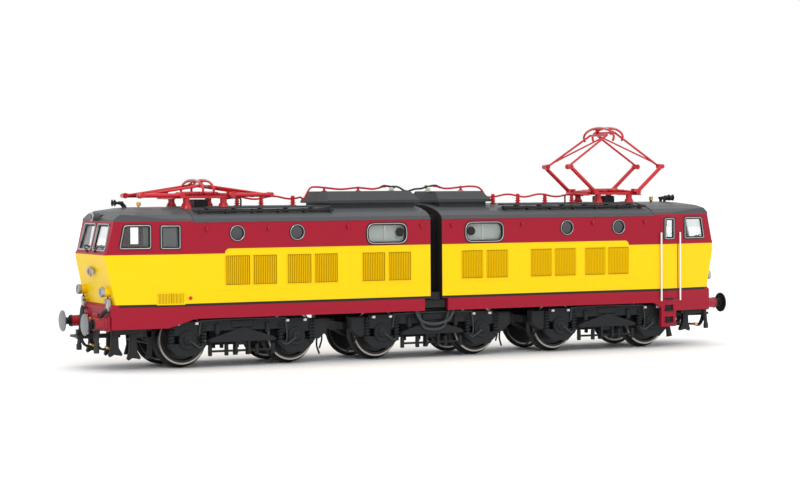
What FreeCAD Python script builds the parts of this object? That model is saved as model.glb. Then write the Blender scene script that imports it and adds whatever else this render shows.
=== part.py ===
"""Model electric locomotive, 1:87: two body halves over three two-axle bogies.

Millimetres.  +X runs along the locomotive (the front half is at -X), +Z is up and z = 0 is
the bottom of the wheel flanges.  Both halves are the same body turned half round.
"""
import FreeCAD, Part
import Sketcher
import math
import os
import re

Vector = FreeCAD.Vector
doc = FreeCAD.newDocument("locomotive")
sheet = doc.addObject("Spreadsheet::Sheet", "Dims")

DIMENSIONS = [
    ("bogie_pitch", 59.8, "distance between bogie centres"),
    ("half_wheelbase", 16.4, "bogie centre to axle"),
    ("axle_height", 8.1, "axle above the flange bottoms"),
    ("tread_radius", 7.18, "wheel tread radius"),
    ("flange_radius", 8.1, "wheel flange radius"),
    ("wheel_back", 7.2, "half the back-to-back distance"),
    ("body_half_width", 17.2, "half the body width"),
    ("body_wall", 1.2, "shell wall"),
    ("roof_edge", 40.8, "height of the edge between side and roof"),
    ("roof_crown", 45.0, "height of the roof's crown"),
    ("skirt_bottom", 14.1, "lower edge of the skirt"),
    ("nose", 99.7, "furthest point of the cab front"),
    ("taper_start", 80.0, "where the cab sides start to taper"),
    ("cab_taper", 0.209, "sideways taper of the cab per unit length"),
    ("body_end", 1.8, "inner end of each body half"),
    ("skirt_end", 3.8, "inner end of each skirt"),
    ("beam_face", 97.8, "outer face of the buffer beam"),
    ("buffer_face", 105.1, "buffer face at rest"),
    ("buffer_spread", 10.06, "buffer axis from the centre line"),
    ("buffer_height", 13.1, "buffer axis height"),
    ("floor_under", 17.0, "underside of the chassis floor"),
    ("floor_thick", 2.0, "chassis floor"),
    ("pin_radius", 2.4, "bogie pivot pin"),
    ("pin_tail", 1.2, "tail of the middle pin in its boss"),
    ("run_gap", 0.06, "radial running clearance"),
    ("worm_height", 23.8, "motor and worm axis"),
    ("gear_module", 0.4, "gear module"),
    ("gear_width", 2.0, "gear face width"),
    ("panto_centre", 67.5, "pantograph centre"),
    ("panto_pivot", 48.2, "height of the lower arm pivots"),
    ("panto_span", 7.6, "lower arm pivot from the pantograph centre"),
    ("lower_arm", 11.8, "lower arm length"),
    ("upper_arm", 19.1, "upper arm length"),
    ("head_offset", 0.5, "upper arm pin from the head's centre"),
    ("arm_spread", 7.8, "side frames of the pantograph from the centre line"),
]
ALIASES = {row[0] for row in DIMENSIONS}
for line, (alias, amount, meaning) in enumerate(DIMENSIONS, start=1):
    sheet.set(f"A{line}", meaning)
    sheet.set(f"B{line}", str(amount))
    sheet.setAlias(f"B{line}", alias)
doc.recompute()
SIZE = {row[0]: float(sheet.get(row[0])) for row in DIMENSIONS}


def linked(text):
    """Turn words from the sheet inside an expression into references to the sheet."""
    return re.sub(r"[a-z_][a-z0-9_]+", lambda m: "Dims." + m.group(0) if m.group(0) in ALIASES
                  else m.group(0), text)


def number(value):
    """The value now of a number or of an expression over the sheet."""
    if isinstance(value, str):
        return float(sheet.evalExpression(linked(value)))
    return float(value)


def bind(thing, prop, value):
    """Drive a property by an expression, or set it when it is a plain number."""
    if isinstance(value, str):
        thing.setExpression(prop, linked(value))
    else:
        thing.setExpression(prop, repr(float(value)))


def place(thing, at, turn=None):
    """Put a thing at three coordinates that may be expressions, turned by a rotation."""
    thing.Placement = FreeCAD.Placement(Vector(*[number(v) for v in at]),
                                        turn or FreeCAD.Rotation())
    for letter, value in zip("xyz", at):
        bind(thing, f"Placement.Base.{letter}", value)
    return thing


ALONG_X = FreeCAD.Rotation(Vector(0, 1, 0), 90)
ALONG_Y = FreeCAD.Rotation(Vector(1, 0, 0), -90)
ALONG_Z = FreeCAD.Rotation()
TURN = {"x": ALONG_X, "y": ALONG_Y, "z": ALONG_Z}
# how a drawing in each plane is turned: its own x and y axes, then the direction it is raised
DRAWN = {"xz": FreeCAD.Rotation(Vector(1, 0, 0), 90), "xy": FreeCAD.Rotation(),
         "yz": FreeCAD.Rotation(Vector(1, 1, 1), 120)}
count = [0]


def fresh(kind):
    """A new helper name."""
    count[0] += 1
    return f"{kind}_{count[0]}"


def box(low, size):
    """A block from its low corner and its three sizes."""
    made = doc.addObject("Part::Box", fresh("block"))
    for prop, value in zip(("Length", "Width", "Height"), size):
        bind(made, prop, value)
    return place(made, low)


def rod(radius, length, start, axis):
    """A round rod from its start point along x, y or z."""
    made = doc.addObject("Part::Cylinder", fresh("rod"))
    bind(made, "Radius", radius)
    bind(made, "Height", length)
    return place(made, start, TURN[axis])


def bar(radius, start, end):
    """A round bar between two points given as numbers."""
    one = Vector(*[number(v) for v in start])
    two = Vector(*[number(v) for v in end])
    made = doc.addObject("Part::Cylinder", fresh("bar"))
    bind(made, "Radius", radius)
    bind(made, "Height", (two - one).Length)
    made.Placement = FreeCAD.Placement(one, FreeCAD.Rotation(Vector(0, 0, 1), two - one))
    return made


def ball(radius, at):
    """A ball."""
    made = doc.addObject("Part::Sphere", fresh("ball"))
    bind(made, "Radius", radius)
    return place(made, at)


def drawing(loops):
    """A sketch of closed loops whose corners are driven by the sheet."""
    made = doc.addObject("Sketcher::SketchObject", fresh("drawing"))
    first = 0
    for loop in loops:
        spots = [Vector(number(a), number(b), 0) for a, b in loop]
        total = len(spots)
        for i in range(total):
            start, end = spots[i], spots[(i + 1) % total]
            made.addGeometry(Part.LineSegment(start, end), False)
            for which, corner in ((1, loop[i]), (2, loop[(i + 1) % total])):
                for letter, value in zip("XY", corner):
                    index = made.addConstraint(Sketcher.Constraint(
                        f"Distance{letter}", -1, 1, first + i, which, number(value)))
                    bind(made, f"Constraints[{index}]", value)
        first += total
    return made


def raised(loops, plane, start, depth):
    """Loops drawn in a plane and raised: xz goes to +Y, xy to +Z and yz to +X from start."""
    sketch = drawing(loops)
    made = doc.addObject("Part::Extrusion", fresh("raised"))
    made.Base = sketch
    made.DirMode = "Normal"
    made.Solid = True
    made.Reversed = plane == "xz"
    sketch.Placement = FreeCAD.Placement(Vector(), DRAWN[plane])
    bind(made, "LengthFwd", depth)
    at = {"xz": (0, start, 0), "xy": (0, 0, start), "yz": (start, 0, 0)}[plane]
    return place(made, at)


def turned(points, axis_turn=None, at=(0, 0, 0)):
    """A turned piece: points are (radius, place along the Y axis)."""
    sketch = drawing([points])
    made = doc.addObject("Part::Revolution", fresh("turned"))
    made.Source = sketch
    made.Axis = Vector(0, 1, 0)
    made.Angle = 360
    made.Solid = True
    return place(made, at, axis_turn)


def join(things, name=None):
    """One solid from several."""
    made = doc.addObject("Part::MultiFuse", name or fresh("join"))
    made.Shapes = things
    return made


def group(things, name=None):
    """Several separate solids that are one sub-part."""
    made = doc.addObject("Part::Compound", name or fresh("group"))
    made.Links = things
    return made


def less(base, tools, name=None):
    """The base with the tools cut away."""
    made = doc.addObject("Part::Cut", name or fresh("less"))
    made.Base = base
    made.Tool = tools[0] if len(tools) == 1 else group(tools)
    return made


def both(one, two, name=None):
    """What two solids have in common."""
    made = doc.addObject("Part::MultiCommon", name or fresh("both"))
    made.Shapes = [one, two]
    return made


HALF_TURN = FreeCAD.Rotation(Vector(0, 0, 1), 180)


def half_turned(thing, name):
    """The same piece for the rear half: turned half round about the middle."""
    made = doc.addObject("Part::Compound", name)
    made.Links = [thing]
    made.Placement = FreeCAD.Placement(Vector(), HALF_TURN)
    return made


PARTS = {}


def keep(name, thing):
    """Name a finished sub-part."""
    thing.Label = name
    PARTS[name] = thing
    return thing


# ------------------------------------------------------------------ body shell (front half)

def body_block(inset, name):
    """The body's outer form set inward by a distance: side, plan and end outlines in common."""
    d = inset
    side = raised([[
        (f"-body_end - {d}", 3), (f"-body_end - {d}", 50), (-75, 50),
        (-88, f"roof_crown + 0.2 - {d}"), (f"-94.5", f"roof_crown - 1.1 - {d}"),
        (f"-97.1 + {d}", f"roof_edge + 0.9 - {d}"), (f"-97.1 + {d}", f"roof_edge - {d}"),
        (f"-99.0 + {d}", 32.9), (f"-nose + {d}", 32.2), (f"-nose + {d}", 31.8),
        (f"-96.7 + {d}", 18.4), (f"-beam_face + {d}", 17.6), (f"-beam_face + {d}", 3)]],
        "xz", -25, 50)
    corner = "(nose - 0.5)"
    half = f"(body_half_width - cab_taper * ({corner} - taper_start) - {d})"
    plan = raised([[
        (5, f"-body_half_width + {d}"), (5, f"body_half_width - {d}"),
        ("-taper_start", f"body_half_width - {d}"), (f"-{corner} + {d}", half),
        (f"-nose + {d}", f"{half} - 0.6"), (f"-nose + {d}", f"-{half} + 0.6"),
        (f"-{corner} + {d}", f"-{half}"), ("-taper_start", f"-body_half_width + {d}")]],
        "xy", 0, 60)
    arch = [(17.2, 0.0), (16.6, 1.0), (14.6, 2.1), (11.0, 3.1), (6.0, 3.9)]
    right = [(f"body_half_width - {round(17.2 - y, 3)} - {d}", f"roof_edge + {z} - {d}")
             for y, z in arch]
    left = [(f"-body_half_width + {round(17.2 - y, 3)} + {d}", f"roof_edge + {z} - {d}")
            for y, z in reversed(arch)]
    end = raised([[(f"-body_half_width + {d}", 3), (f"body_half_width - {d}", 3)] + right
                  + [(0, f"roof_crown - {d}")] + left], "yz", -110, 115)
    made = doc.addObject("Part::MultiCommon", name)
    made.Shapes = [side, plan, end]
    return made


outer_form = body_block(0, "outer_form")
inner_form = body_block("body_wall", "inner_form")

SKIRT_SIDE = [(5, 0), (5, 17.6), ("-skirt_end", 17.6), ("-skirt_end", "skirt_bottom"),
              (-74.9, "skirt_bottom"), (-82.6, 11.7), (-105, 11.4), (-105, 0)]
SKIRT_DOOR = [(5, 0), (5, 17.6), ("-skirt_end", 17.6), ("-skirt_end", "skirt_bottom"),
              (-74.9, "skirt_bottom"), (-77.7, 12.6), (-77.7, 6.6), (-83.5, 6.6),
              (-83.5, 11.4), (-105, 11.4), (-105, 0)]
under_plain = raised([SKIRT_SIDE], "xz", -30, 30)
under_door = raised([SKIRT_DOOR], "xz", 0, 30)
inner_open = box((-96.4, -11.5, 2), ("96.4 - body_end - body_wall", 23, 14))
joint_gap = box((-5, -8, 0), (9, 16, 21.2))

OVAL = [(-21.4, 33.7), (-22.3, 34.6), (-22.5, 36.8), (-22.3, 39.0), (-21.4, 39.9),
        (-10.5, 39.9), (-9.6, 39.0), (-9.4, 36.8), (-9.6, 34.6), (-10.5, 33.7)]
CAB_SIDE = [(-87.4, 33.5), (-87.0, 33.9), (-87.0, 39.9), (-87.4, 40.3), (-94.0, 40.3),
            (-94.5, 39.9), (-95.7, 33.9), (-95.4, 33.5)]
FIXED = [(-79.3, 33.4), (-79.0, 33.8), (-79.0, 39.7), (-79.3, 40.1), (-84.3, 40.1),
         (-84.6, 39.7), (-84.6, 33.8), (-84.3, 33.4)]
DOOR_PANE = [(-79.0, 33.4), (-78.7, 33.7), (-78.7, 39.8), (-79.0, 40.1), (-82.6, 40.1),
             (-82.9, 39.8), (-82.9, 33.7), (-82.6, 33.4)]
SCREEN = [(0.8, 33.4), (1.1, 33.1), (11.6, 33.1), (11.9, 33.4), (10.9, 40.2), (10.6, 40.5),
          (1.1, 40.5), (0.8, 40.2)]
PORTHOLES = [-62.3, -44.1]
GRILLES = [(-66.1, -58.3), (-57.8, -50.2), (-47.4, -39.6), (-39.0, -31.4), (-24.1, -16.4),
           (-15.7, -8.1)]


def shrunk(loop, by):
    """A loop drawn in toward its own centre by a distance at its corners."""
    mx = sum(p[0] for p in loop) / len(loop)
    my = sum(p[1] for p in loop) / len(loop)
    wide = (max(p[0] for p in loop) - min(p[0] for p in loop)) / 2
    tall = (max(p[1] for p in loop) - min(p[1] for p in loop)) / 2
    return [(round(mx + (p[0] - mx) * (wide - by) / wide, 3),
             round(my + (p[1] - my) * (tall - by) / tall, 3)) for p in loop]


def window_prisms(by):
    """Prisms through every window opening, drawn in by a distance."""
    prisms = []
    for loop, sides in ((OVAL, (1, -1)), (CAB_SIDE, (1, -1)), (FIXED, (-1,)),
                        (DOOR_PANE, (1,))):
        for side in sides:
            prisms.append(raised([shrunk(loop, by)], "xz", 8 if side > 0 else -20, 12))
    for x in PORTHOLES:
        for side in (1, -1):
            prisms.append(rod(2.2 - by, 12, (x, 8 if side > 0 else -20, 37.6), "y"))
    for side in (1, -1):
        loop = [(side * y, z) for y, z in shrunk(SCREEN, by)]
        prisms.append(raised([loop], "yz", -104, 10.5))
    return prisms


LAMPS = [(10.2, 21.9, 1.35), (-10.2, 21.9, 1.35), (10.0, 19.3, 0.6), (-10.0, 19.3, 0.6)]
lamp_holes = [rod(radius, 6, (-101, y, z), "x") for y, z, radius in LAMPS]
buffer_holes = [rod(1.35, 8, (-101, f"{s} * buffer_spread", "buffer_height"), "x")
                for s in (1, -1)]
top_lamp_hole = rod(1.0, 4, (-99.5, 0, 42.4), "x")
grille_cuts = []
for low, high in GRILLES:
    for side in (1, -1):
        grille_cuts.append(box((low, "body_half_width - 0.45" if side > 0 else
                                "-body_half_width - 0.55", 23.0), (high - low, 1, 8.6)))
grille_cuts.append(box((-85.4, "-body_half_width - 0.55", 18.3), (7.3, 1.1, 3.1)))
step_cuts = [box((-82.3, 14.0, z), (3.4, 6, 1.7)) for z in (8.0, 11.6)]

shell = less(outer_form, [inner_form, under_plain, under_door, inner_open, joint_gap]
             + window_prisms(0) + lamp_holes + buffer_holes + [top_lamp_hole]
             + grille_cuts + step_cuts, "body_shell_front")
keep("body_shell_front", shell)
keep("body_shell_rear", half_turned(shell, "body_shell_rear"))

# glazing sits 0.35 mm behind the outer face, the metal frames stand 0.15 mm proud
glaze_layer = less(body_block(0.35, "glaze_outer"), [body_block(0.85, "glaze_inner")])
frame_layer = less(body_block(-0.15, "frame_outer"), [body_block(0.35, "frame_inner")])
glazing = both(glaze_layer, group(window_prisms(0)))
windows_front = group([glazing] + [rod(1.0, 2.4, (-99.0, 0, 42.4), "x")], "windows_front")
keep("windows_front", windows_front)
keep("windows_rear", half_turned(windows_front, "windows_rear"))


def handrail(x):
    """A white grab rail beside the cab door, on two short brackets."""
    y = 17.75 if x > -80 else 17.77 - 0.209 * (-x - 80)
    foot = 0.53
    return join([bar(0.28, (x, y, 14.6), (x, y, 35.6)),
                 bar(0.25, (x, y - foot, 15.2), (x, y, 15.2)),
                 bar(0.25, (x, y - foot, 35.1), (x, y, 35.1))])


frames = less(both(frame_layer, group(window_prisms(0))), window_prisms(0.45))
lamp_tubes = []
for y, z, radius in LAMPS:
    tube = rod(radius, 3.9 if radius > 1 else 2.6, (-99.9 if radius > 1 else -98.6, y, z), "x")
    lamp_tubes.append(less(tube, [rod(radius - 0.4, 0.8, (-100.2 if radius > 1 else -98.9,
                                                         y, z), "x")]))
trim = group([frames] + lamp_tubes + [handrail(-77.4), handrail(-84.9)], "metal_trim_front")
keep("metal_trim_front", trim)
keep("metal_trim_rear", half_turned(trim, "metal_trim_rear"))

# ------------------------------------------------------------------ chassis and insides

floor_plan = [(-3.4, -15.6), (-3.4, 15.6), (-79.8, 15.6), (-95.3, 11.3), (-95.3, -11.3),
              (-79.8, -15.6)]


def chassis(front):
    """The cast floor of one half with its tongue over the middle bogie."""
    floor = raised([floor_plan], "xy", "floor_under", "floor_thick")
    tongue_low = "floor_under" if front else "floor_under + 1.3"
    neck = raised([[(-6, -6), (-6, 6), (-12, 9), (-12, -9)]], "xy", "floor_under",
                  "floor_thick")
    tongue = join([rod(5.2, 1.1, (0, 0, tongue_low), "z"),
                   box((-9, -4, tongue_low), (9, 8, 1.1))])
    room = box((-6.2, -7, 16.5), (6.4, 14, 3))
    posts = [box((-94.0, s * 10 - 1.4, 18.9), (3, 2.8, 5.0)) for s in (1, -1)]
    posts += [box((-14.2, s * 13 - 1.2, 18.9), (2.4, 2.4, 12.5)) for s in (1, -1)]
    posts += [box((-30.2 if not front else -51.4, s * 13 - 1.2, 18.9), (2.4, 2.4, 12.5))
              for s in (1, -1)]
    holes = [rod("pin_radius + run_gap", 6, (0, 0, 15.5), "z")]
    solids = [less(join([floor, neck]), [room]), tongue]
    if front:
        bridge = [box((-64.3, s * 9.2 - 1.2, 18.9), (9, 2.4, 9.7)) for s in (1, -1)]
        bridge.append(box((-64.3, -10.4, 28.0), (9, 20.8, 1.6)))
        cradle = [box((-44.5, s * 7.6 - 0.9, 18.9), (17, 1.8, 4.2)) for s in (1, -1)]
        solids += bridge + cradle
        holes.append(box((-73.5, -7.6, 16), (27.4, 15.2, 4)))
        holes.append(box((-46.3, -6.6, 16), (27.9, 13.2, 4)))
        holes.append(rod("pin_radius + run_gap", 8, ("-bogie_pitch", 0, 25), "z"))
    else:
        holes.append(rod("pin_radius + run_gap", 8, ("-bogie_pitch", 0, 14), "z"))
    return less(join(solids + posts), holes)


keep("chassis_front", chassis(True))
keep("chassis_rear", half_turned(chassis(False), "chassis_rear"))

motor_can = less(both(rod(6.5, 20, (-46, 0, "worm_height"), "x"),
                      box((-46, -6.0, 10), (20, 12, 30))),
                 [rod(5.3, 17, (-44.5, 0, "worm_height"), "x"),
                  rod("0.8 + run_gap", 24, (-48, 0, "worm_height"), "x")], )
keep("motor_housing", motor_can)
rotor = join([rod(0.8, 29.4, (-48.4, 0, "worm_height"), "x"),
              rod(4.7, 13, (-42.5, 0, "worm_height"), "x"),
              rod(1.8, 1.4, (-29.5, 0, "worm_height"), "x"),
              rod(5.2, 5.0, (-24.0, 0, "worm_height"), "x")], "motor_rotor")
keep("motor_rotor", rotor)
cardan = join([rod(1.2, 1.2, (-49.6, 0, "worm_height"), "x"),
               rod(0.5, 2.2, (-51.6, 0, "worm_height"), "x"),
               ball(0.85, (-51.4, 0, "worm_height"))], "cardan_shaft")
keep("cardan_shaft", cardan)
board = join([box((-52, -14.6, 31.4), (41, 29.2, 0.9)), box((-30, -5, 32.3), (9, 8, 1.6)),
              rod(2.4, 3.2, (-36, 3, 32.3), "z"), rod(1.6, 2.4, (-44, -6, 32.3), "z")],
             "circuit_board")
keep("circuit_board", board)
keep("ballast_weight", box((15.5, -11.4, 19), (28, 22.8, 11.5)))


def cab_interior():
    """Bulkhead, desk and driver's seat of one cab."""
    desk = raised([[(-95.2, 24), (-95.2, 31.2), (-93.2, 31.8), (-90.6, 30.2), (-90.6, 24)]],
                  "xz", -8.5, 17)
    plate = box((-95.2, -9.6, 23.9), (17.4, 19.2, 1.1))
    bulkhead = box((-78.9, -14.2, 19.0), (1.1, 28.4, 22.2))
    seat = join([box((-87.2, 2.6, 25), (4.2, 4.6, 3.0)), box((-83.8, 2.6, 27.5), (1.2, 4.6, 6))])
    return join([desk, plate, bulkhead, seat])


keep("cab_interior_front", cab_interior())
keep("cab_interior_rear", half_turned(cab_interior(), "cab_interior_rear"))


def bellows(front):
    """One half of the gangway bellows with the box that hides the joint below."""
    low = "-body_end" if front else "body_end - 1.1"
    fold = box((low, -12.6, 21.5), (1.1, 25.2, 20.6))
    flap = box((low, -12.6, 18.6), (1.1, 4.4, 3.0))
    other = box((low, 8.2, 18.6), (1.1, 4.4, 3.0))
    return join([fold, flap, other])


keep("bellows_front", bellows(True))
keep("bellows_rear", bellows(False))

# ------------------------------------------------------------------ roof

def roof_box(x0, x1, top0, top1, height):
    """Raised equipment box with sloped ends, an overhanging lid and a vent band under it."""
    body = raised([[(x0 + 1.2, 42.5), (x0 + 1.2, 45.9), (x1 - 1.2, 45.9), (x1 - 1.2, 42.5)]],
                  "xz", -8.4, 16.8)
    lid = raised([[(x0, 45.6), (x0, 46.1), (top0, height), (top1, height), (x1, 46.1),
                   (x1, 45.6)]], "xz", -9.8, 19.6)
    sides = raised([[(-9.8, 45.0), (-9.8, 46.4), (-6.6, height), (6.6, height), (9.8, 46.4),
                     (9.8, 45.0)]], "yz", x0 - 1, x1 - x0 + 2)
    return less(join([body, both(lid, sides)]), [outer_form])


def walkway(x0, x1):
    """Roof boards on clips along both shoulders."""
    pieces = []
    for side in (1, -1):
        pieces.append(box((x0, side * 12.2 - 1.3, 44.5), (x1 - x0, 2.6, 0.5)))
        spot = x0 + 0.6
        while spot < x1 - 0.6:
            pieces.append(box((spot, side * 12.2 - 1.3, 42.4), (0.6, 2.6, 2.2)))
            spot += 7.9
    return less(join(pieces), [outer_form])


keep("roof_box_front", group([roof_box(-31.3, -1.5, -30.0, -3.2, 49.0), walkway(-70, -32.0)]))
rear_roof = group([roof_box(-22.4, -4.5, -20.6, -5.2, 48.8), walkway(-70, -24)])
keep("roof_box_rear", half_turned(rear_roof, "roof_box_rear"))


def insulator(x, y, low, high, radius):
    """A ribbed post insulator."""
    mid = (high - low) / 3
    points = [(0, low), (radius, low), (radius, low + mid * 0.6), (radius * 0.55, low + mid),
              (radius * 0.9, low + mid * 1.5), (radius * 0.5, low + mid * 2),
              (radius * 0.7, high), (0, high)]
    return turned(points, FreeCAD.Rotation(Vector(1, 0, 0), 90), (x, y, 0))


def panto_base(x):
    """Rectangular tube frame on four insulators, with a bearing lug at each arm pivot."""
    pieces = [box((x - 9.4, s * 6.0 - 0.45, 47.3), (18.8, 0.9, 0.8)) for s in (1, -1)]
    pieces += [box((x + e * 9.0 - 0.4, -6.4, 47.35), (0.8, 12.8, 0.7)) for e in (1, -1)]
    pieces += [box((x - 0.5, -6.4, 47.35), (1.0, 12.8, 0.7))]
    cuts = []
    for end in (1, -1):
        for side in (1, -1):
            pieces.append(box((x + end * 7.6 - 0.9, side * 6.0 - 0.45, 47.3), (1.8, 0.9, 1.8)))
            pieces.append(less(insulator(x + end * 5.6, side * 6.0, 43.0, 47.5, 1.3),
                               [outer_form]) if x < 0 else
                          insulator(x + end * 5.6, side * 6.0, 43.0, 47.5, 1.3))
        cuts.append(rod("0.45 + run_gap", 20, (x + end * 7.6, -10, "panto_pivot"), "y"))
    return less(less(join(pieces), cuts), [outer_form])


keep("pantograph_base_front", panto_base(-67.5))
keep("pantograph_base_rear", half_turned(panto_base(-67.5), "pantograph_base_rear"))


def roof_wire(x0, x1, over, posts, name):
    """A bent high-voltage wire on insulators along the roof and over the equipment box."""
    pieces = []
    steps = int(round((x1 - x0) / 3.2))
    spots = []
    for i in range(steps + 1):
        along = x0 + (x1 - x0) * i / steps
        spots.append((along, 3.4, 47.4 + 0.4 * math.sin(along * 0.55)))
    spots += [(along, 3.4, height) for along, height in over]
    for one, two in zip(spots, spots[1:]):
        pieces.append(bar(0.32, one, two))
        pieces.append(ball(0.32, two))
    for x in posts:
        pieces.append(less(insulator(x, 3.4, 43.5, 47.6, 1.1), [outer_form]))
    for x in WIRE_FEET:
        if over[0][0] < x:
            pieces.append(rod(0.6, 1.2, (x, 3.4, 49.0), "z"))
    return join(pieces)


WIRE_FEET = (-26.4, -15.4, -5.0)
keep("roof_wiring_front", roof_wire(
    -57.0, -34.0, [(-32.9, 47.0), (-31.1, 49.9), (-29, 50.1), (-26.4, 49.9), (-21, 49.7),
                   (-15.4, 50.0), (-10.5, 49.7), (-7.5, 50.2), (-5.0, 50.2)],
    (-54.0, -46.5, -36.5), "wire"))
keep("roof_wiring_rear", half_turned(roof_wire(
    -57.0, -25.0, [(-23.9, 47.0), (-21.9, 49.4), (-19.5, 50.1), (-15.4, 50.0), (-10.5, 49.7),
                   (-6.5, 50.0), (-5.0, 50.2)],
    (-54.0, -44.5, -35, -26.4), "wire"), "roof_wiring_rear"))
horns = group([less(join([rod(0.45, 3.5, (-89.4, y, 43), "z"),
                         rod(0.35, 2.9, (-91.6, y, 46.1), "x"),
                         rod(0.8, 0.9, (-91.9, y, 46.1), "x")]), [outer_form])
              for y in (-1.1, 1.1)]
             + [less(join([rod(0.4, 2.2, (-85.1, 0, 43.6), "z"),
                           rod(0.6, 0.9, (-85.1, 0, 45.6), "z")]), [outer_form])], "horns")
keep("horns_front", horns)
keep("horns_rear", half_turned(horns, "horns_rear"))

# ------------------------------------------------------------------ pantograph arms

LOW_Z = SIZE["panto_pivot"]
SPAN = SIZE["panto_span"]
L1, L2, OFF = SIZE["lower_arm"], SIZE["upper_arm"], SIZE["head_offset"]


def upper_angle(lower):
    """Angle of the upper arm that keeps the head on the pantograph's centre line."""
    return math.degrees(math.acos((SPAN + L1 * math.cos(math.radians(lower)) - OFF) / L2))


def pantograph(x, name, lower, facing):
    """Two lower arms, two upper arms and the head, drawn with the lower arms at an angle."""
    rise = math.radians(lower)
    slope = math.radians(upper_angle(lower))
    knee_z = LOW_Z + L1 * math.sin(rise)
    head_z = knee_z + L2 * math.sin(slope)
    for end, word in ((-facing, "a"), (facing, "b")):
        foot = (x + end * SPAN, LOW_Z)
        knee = (x + end * (SPAN + L1 * math.cos(rise)), knee_z)
        top = (x + end * OFF, head_z)
        spread = SIZE["arm_spread"]
        arms = [rod(0.45, 2 * spread, (foot[0], -spread, foot[1]), "y")]
        for side in (1, -1):
            arms.append(bar(0.6, (foot[0], side * spread, foot[1]),
                            (knee[0], side * spread, knee[1])))
            arms.append(rod(0.85, 1.5, (foot[0], side * spread - 0.75, foot[1]), "y"))
            arms.append(rod(0.7, 1.4, (knee[0], side * spread - 0.7, knee[1]), "y"))
            pin_from = 5.6 if side > 0 else -spread
            arms.append(rod(0.35, spread - 5.6, (knee[0], pin_from, knee[1]), "y"))
        keep(f"{name}_lower_arm_{word}", join(arms, f"{name}_lower_arm_{word}"))
        inner = 6.0 if word == "a" else 5.0
        hub = 6.6
        bars = [rod(0.8, 1.0, (knee[0], -hub - 0.2, knee[1]), "y"),
                rod(0.8, 1.0, (knee[0], hub - 0.8, knee[1]), "y")]
        reach = 1.0 if word == "a" else 0.93
        tip = (knee[0] + (top[0] - knee[0]) * reach, knee[1] + (top[1] - knee[1]) * reach)
        start = (knee[0] + (top[0] - knee[0]) * 0.03, knee[1] + (top[1] - knee[1]) * 0.03)
        for side in (1, -1):
            bars.append(bar(0.33, (start[0], side * (hub - 0.3), start[1]),
                            (tip[0], side * inner, tip[1])))
            bars.append(ball(0.33, (tip[0], side * inner, tip[1])))
        bars.append(rod(0.33, 2 * inner, (tip[0], -inner, tip[1]), "y"))
        far = -end
        bars.append(bar(0.25, (knee[0] + (tip[0] - knee[0]) * 0.12, far * (hub - 0.37),
                               knee[1] + (tip[1] - knee[1]) * 0.12),
                        (knee[0] + (tip[0] - knee[0]) * 0.97, -far * (inner + 0.02),
                         knee[1] + (tip[1] - knee[1]) * 0.97)))
        bore = rod("0.35 + run_gap", 20, (knee[0], -10, knee[1]), "y")
        keep(f"{name}_upper_arm_{word}", less(join(bars), [bore]))
    pin_x = x - facing * OFF
    strips = []
    half = [(3.2, 2.4), (6.5, 1.95), (8.4, 1.1), (9.15, -0.1), (8.9, -1.0), (8.35, -1.0),
            (8.5, -0.1), (7.9, 0.65), (6.2, 1.35), (3.2, 1.75)]
    arch = half + [(-y, z) for y, z in reversed(half)]
    for along in (-1.6, 1.6):
        strips.append(raised([[(y, head_z + z) for y, z in arch]], "yz", x + along - 0.35, 0.7))
    for side in (1, -1):
        strips.append(bar(0.3, (x - 1.6, side * 4.2, head_z + 2.0),
                          (x + 1.6, side * 4.2, head_z + 2.0)))
        strips.append(bar(0.28, (x, side * 4.2, head_z + 2.0), (pin_x, side * 4.2, head_z + 0.6)))
        strips.append(rod(0.75, 1.0, (pin_x, side * 4.2 - 0.5, head_z), "y"))
    head = less(join(strips), [rod("0.33 + run_gap", 20, (pin_x, -10, head_z), "y")])
    keep(f"{name}_head", head)


pantograph(-67.5, "pantograph_front", 0.0, 1)
pantograph(67.5, "pantograph_rear", 41.4, -1)

# ------------------------------------------------------------------ buffers, couplers, hoses

def beam_fittings():
    """Buffer sleeves with their stepped bases, and the brake hoses of one end."""
    pieces = []
    for side in (1, -1):
        y = f"{side} * buffer_spread"
        base = box(("-beam_face - 1.0", f"{side} * buffer_spread - 2.2", "buffer_height - 2.0"),
                   (1.0, 4.4, 4.0))
        sleeve = rod(1.55, 3.6, ("-beam_face - 4.4", y, "buffer_height"), "x")
        pieces.append(less(join([base, sleeve]),
                           [rod("1.0 + run_gap", 8, ("-beam_face - 6", y, "buffer_height"),
                                "x")]))
    for y in (-5.6, 5.6):
        path = [(-97.8, y, 12.6), (-99.6, y, 12.0), (-100.4, y * 0.97, 9.6),
                (-99.8, y * 0.93, 7.4), (-98.6, y * 0.9, 6.0)]
        hose = [bar(0.4, one, two) for one, two in zip(path, path[1:])]
        hose += [ball(0.4, spot) for spot in path[1:]]
        pieces.append(less(join(hose), [outer_form]))
    return group(pieces)


keep("buffer_beam_fittings_front", beam_fittings())
keep("buffer_beam_fittings_rear", half_turned(beam_fittings(), "buffer_beam_fittings_rear"))


def buffer(side, name):
    """A sprung buffer: domed head on a shaft that slides in the sleeve."""
    made = turned([(0, 0.0), (1.6, 0.06), (2.5, 0.25), (3.0, 0.55), (3.0, 0.85), (1.3, 1.05),
                   (1.0, 1.3), (1.0, 7.6), (0, 7.6)],
                  FreeCAD.Rotation(Vector(0, 0, 1), -90),
                  ("-buffer_face", f"{side} * buffer_spread", "buffer_height"))
    return made


keep("buffer_front_left", buffer(1, "left"))
keep("buffer_front_right", buffer(-1, "right"))
keep("buffer_rear_left", half_turned(buffer(1, "left"), "buffer_rear_left"))
keep("buffer_rear_right", half_turned(buffer(-1, "right"), "buffer_rear_right"))


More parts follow.
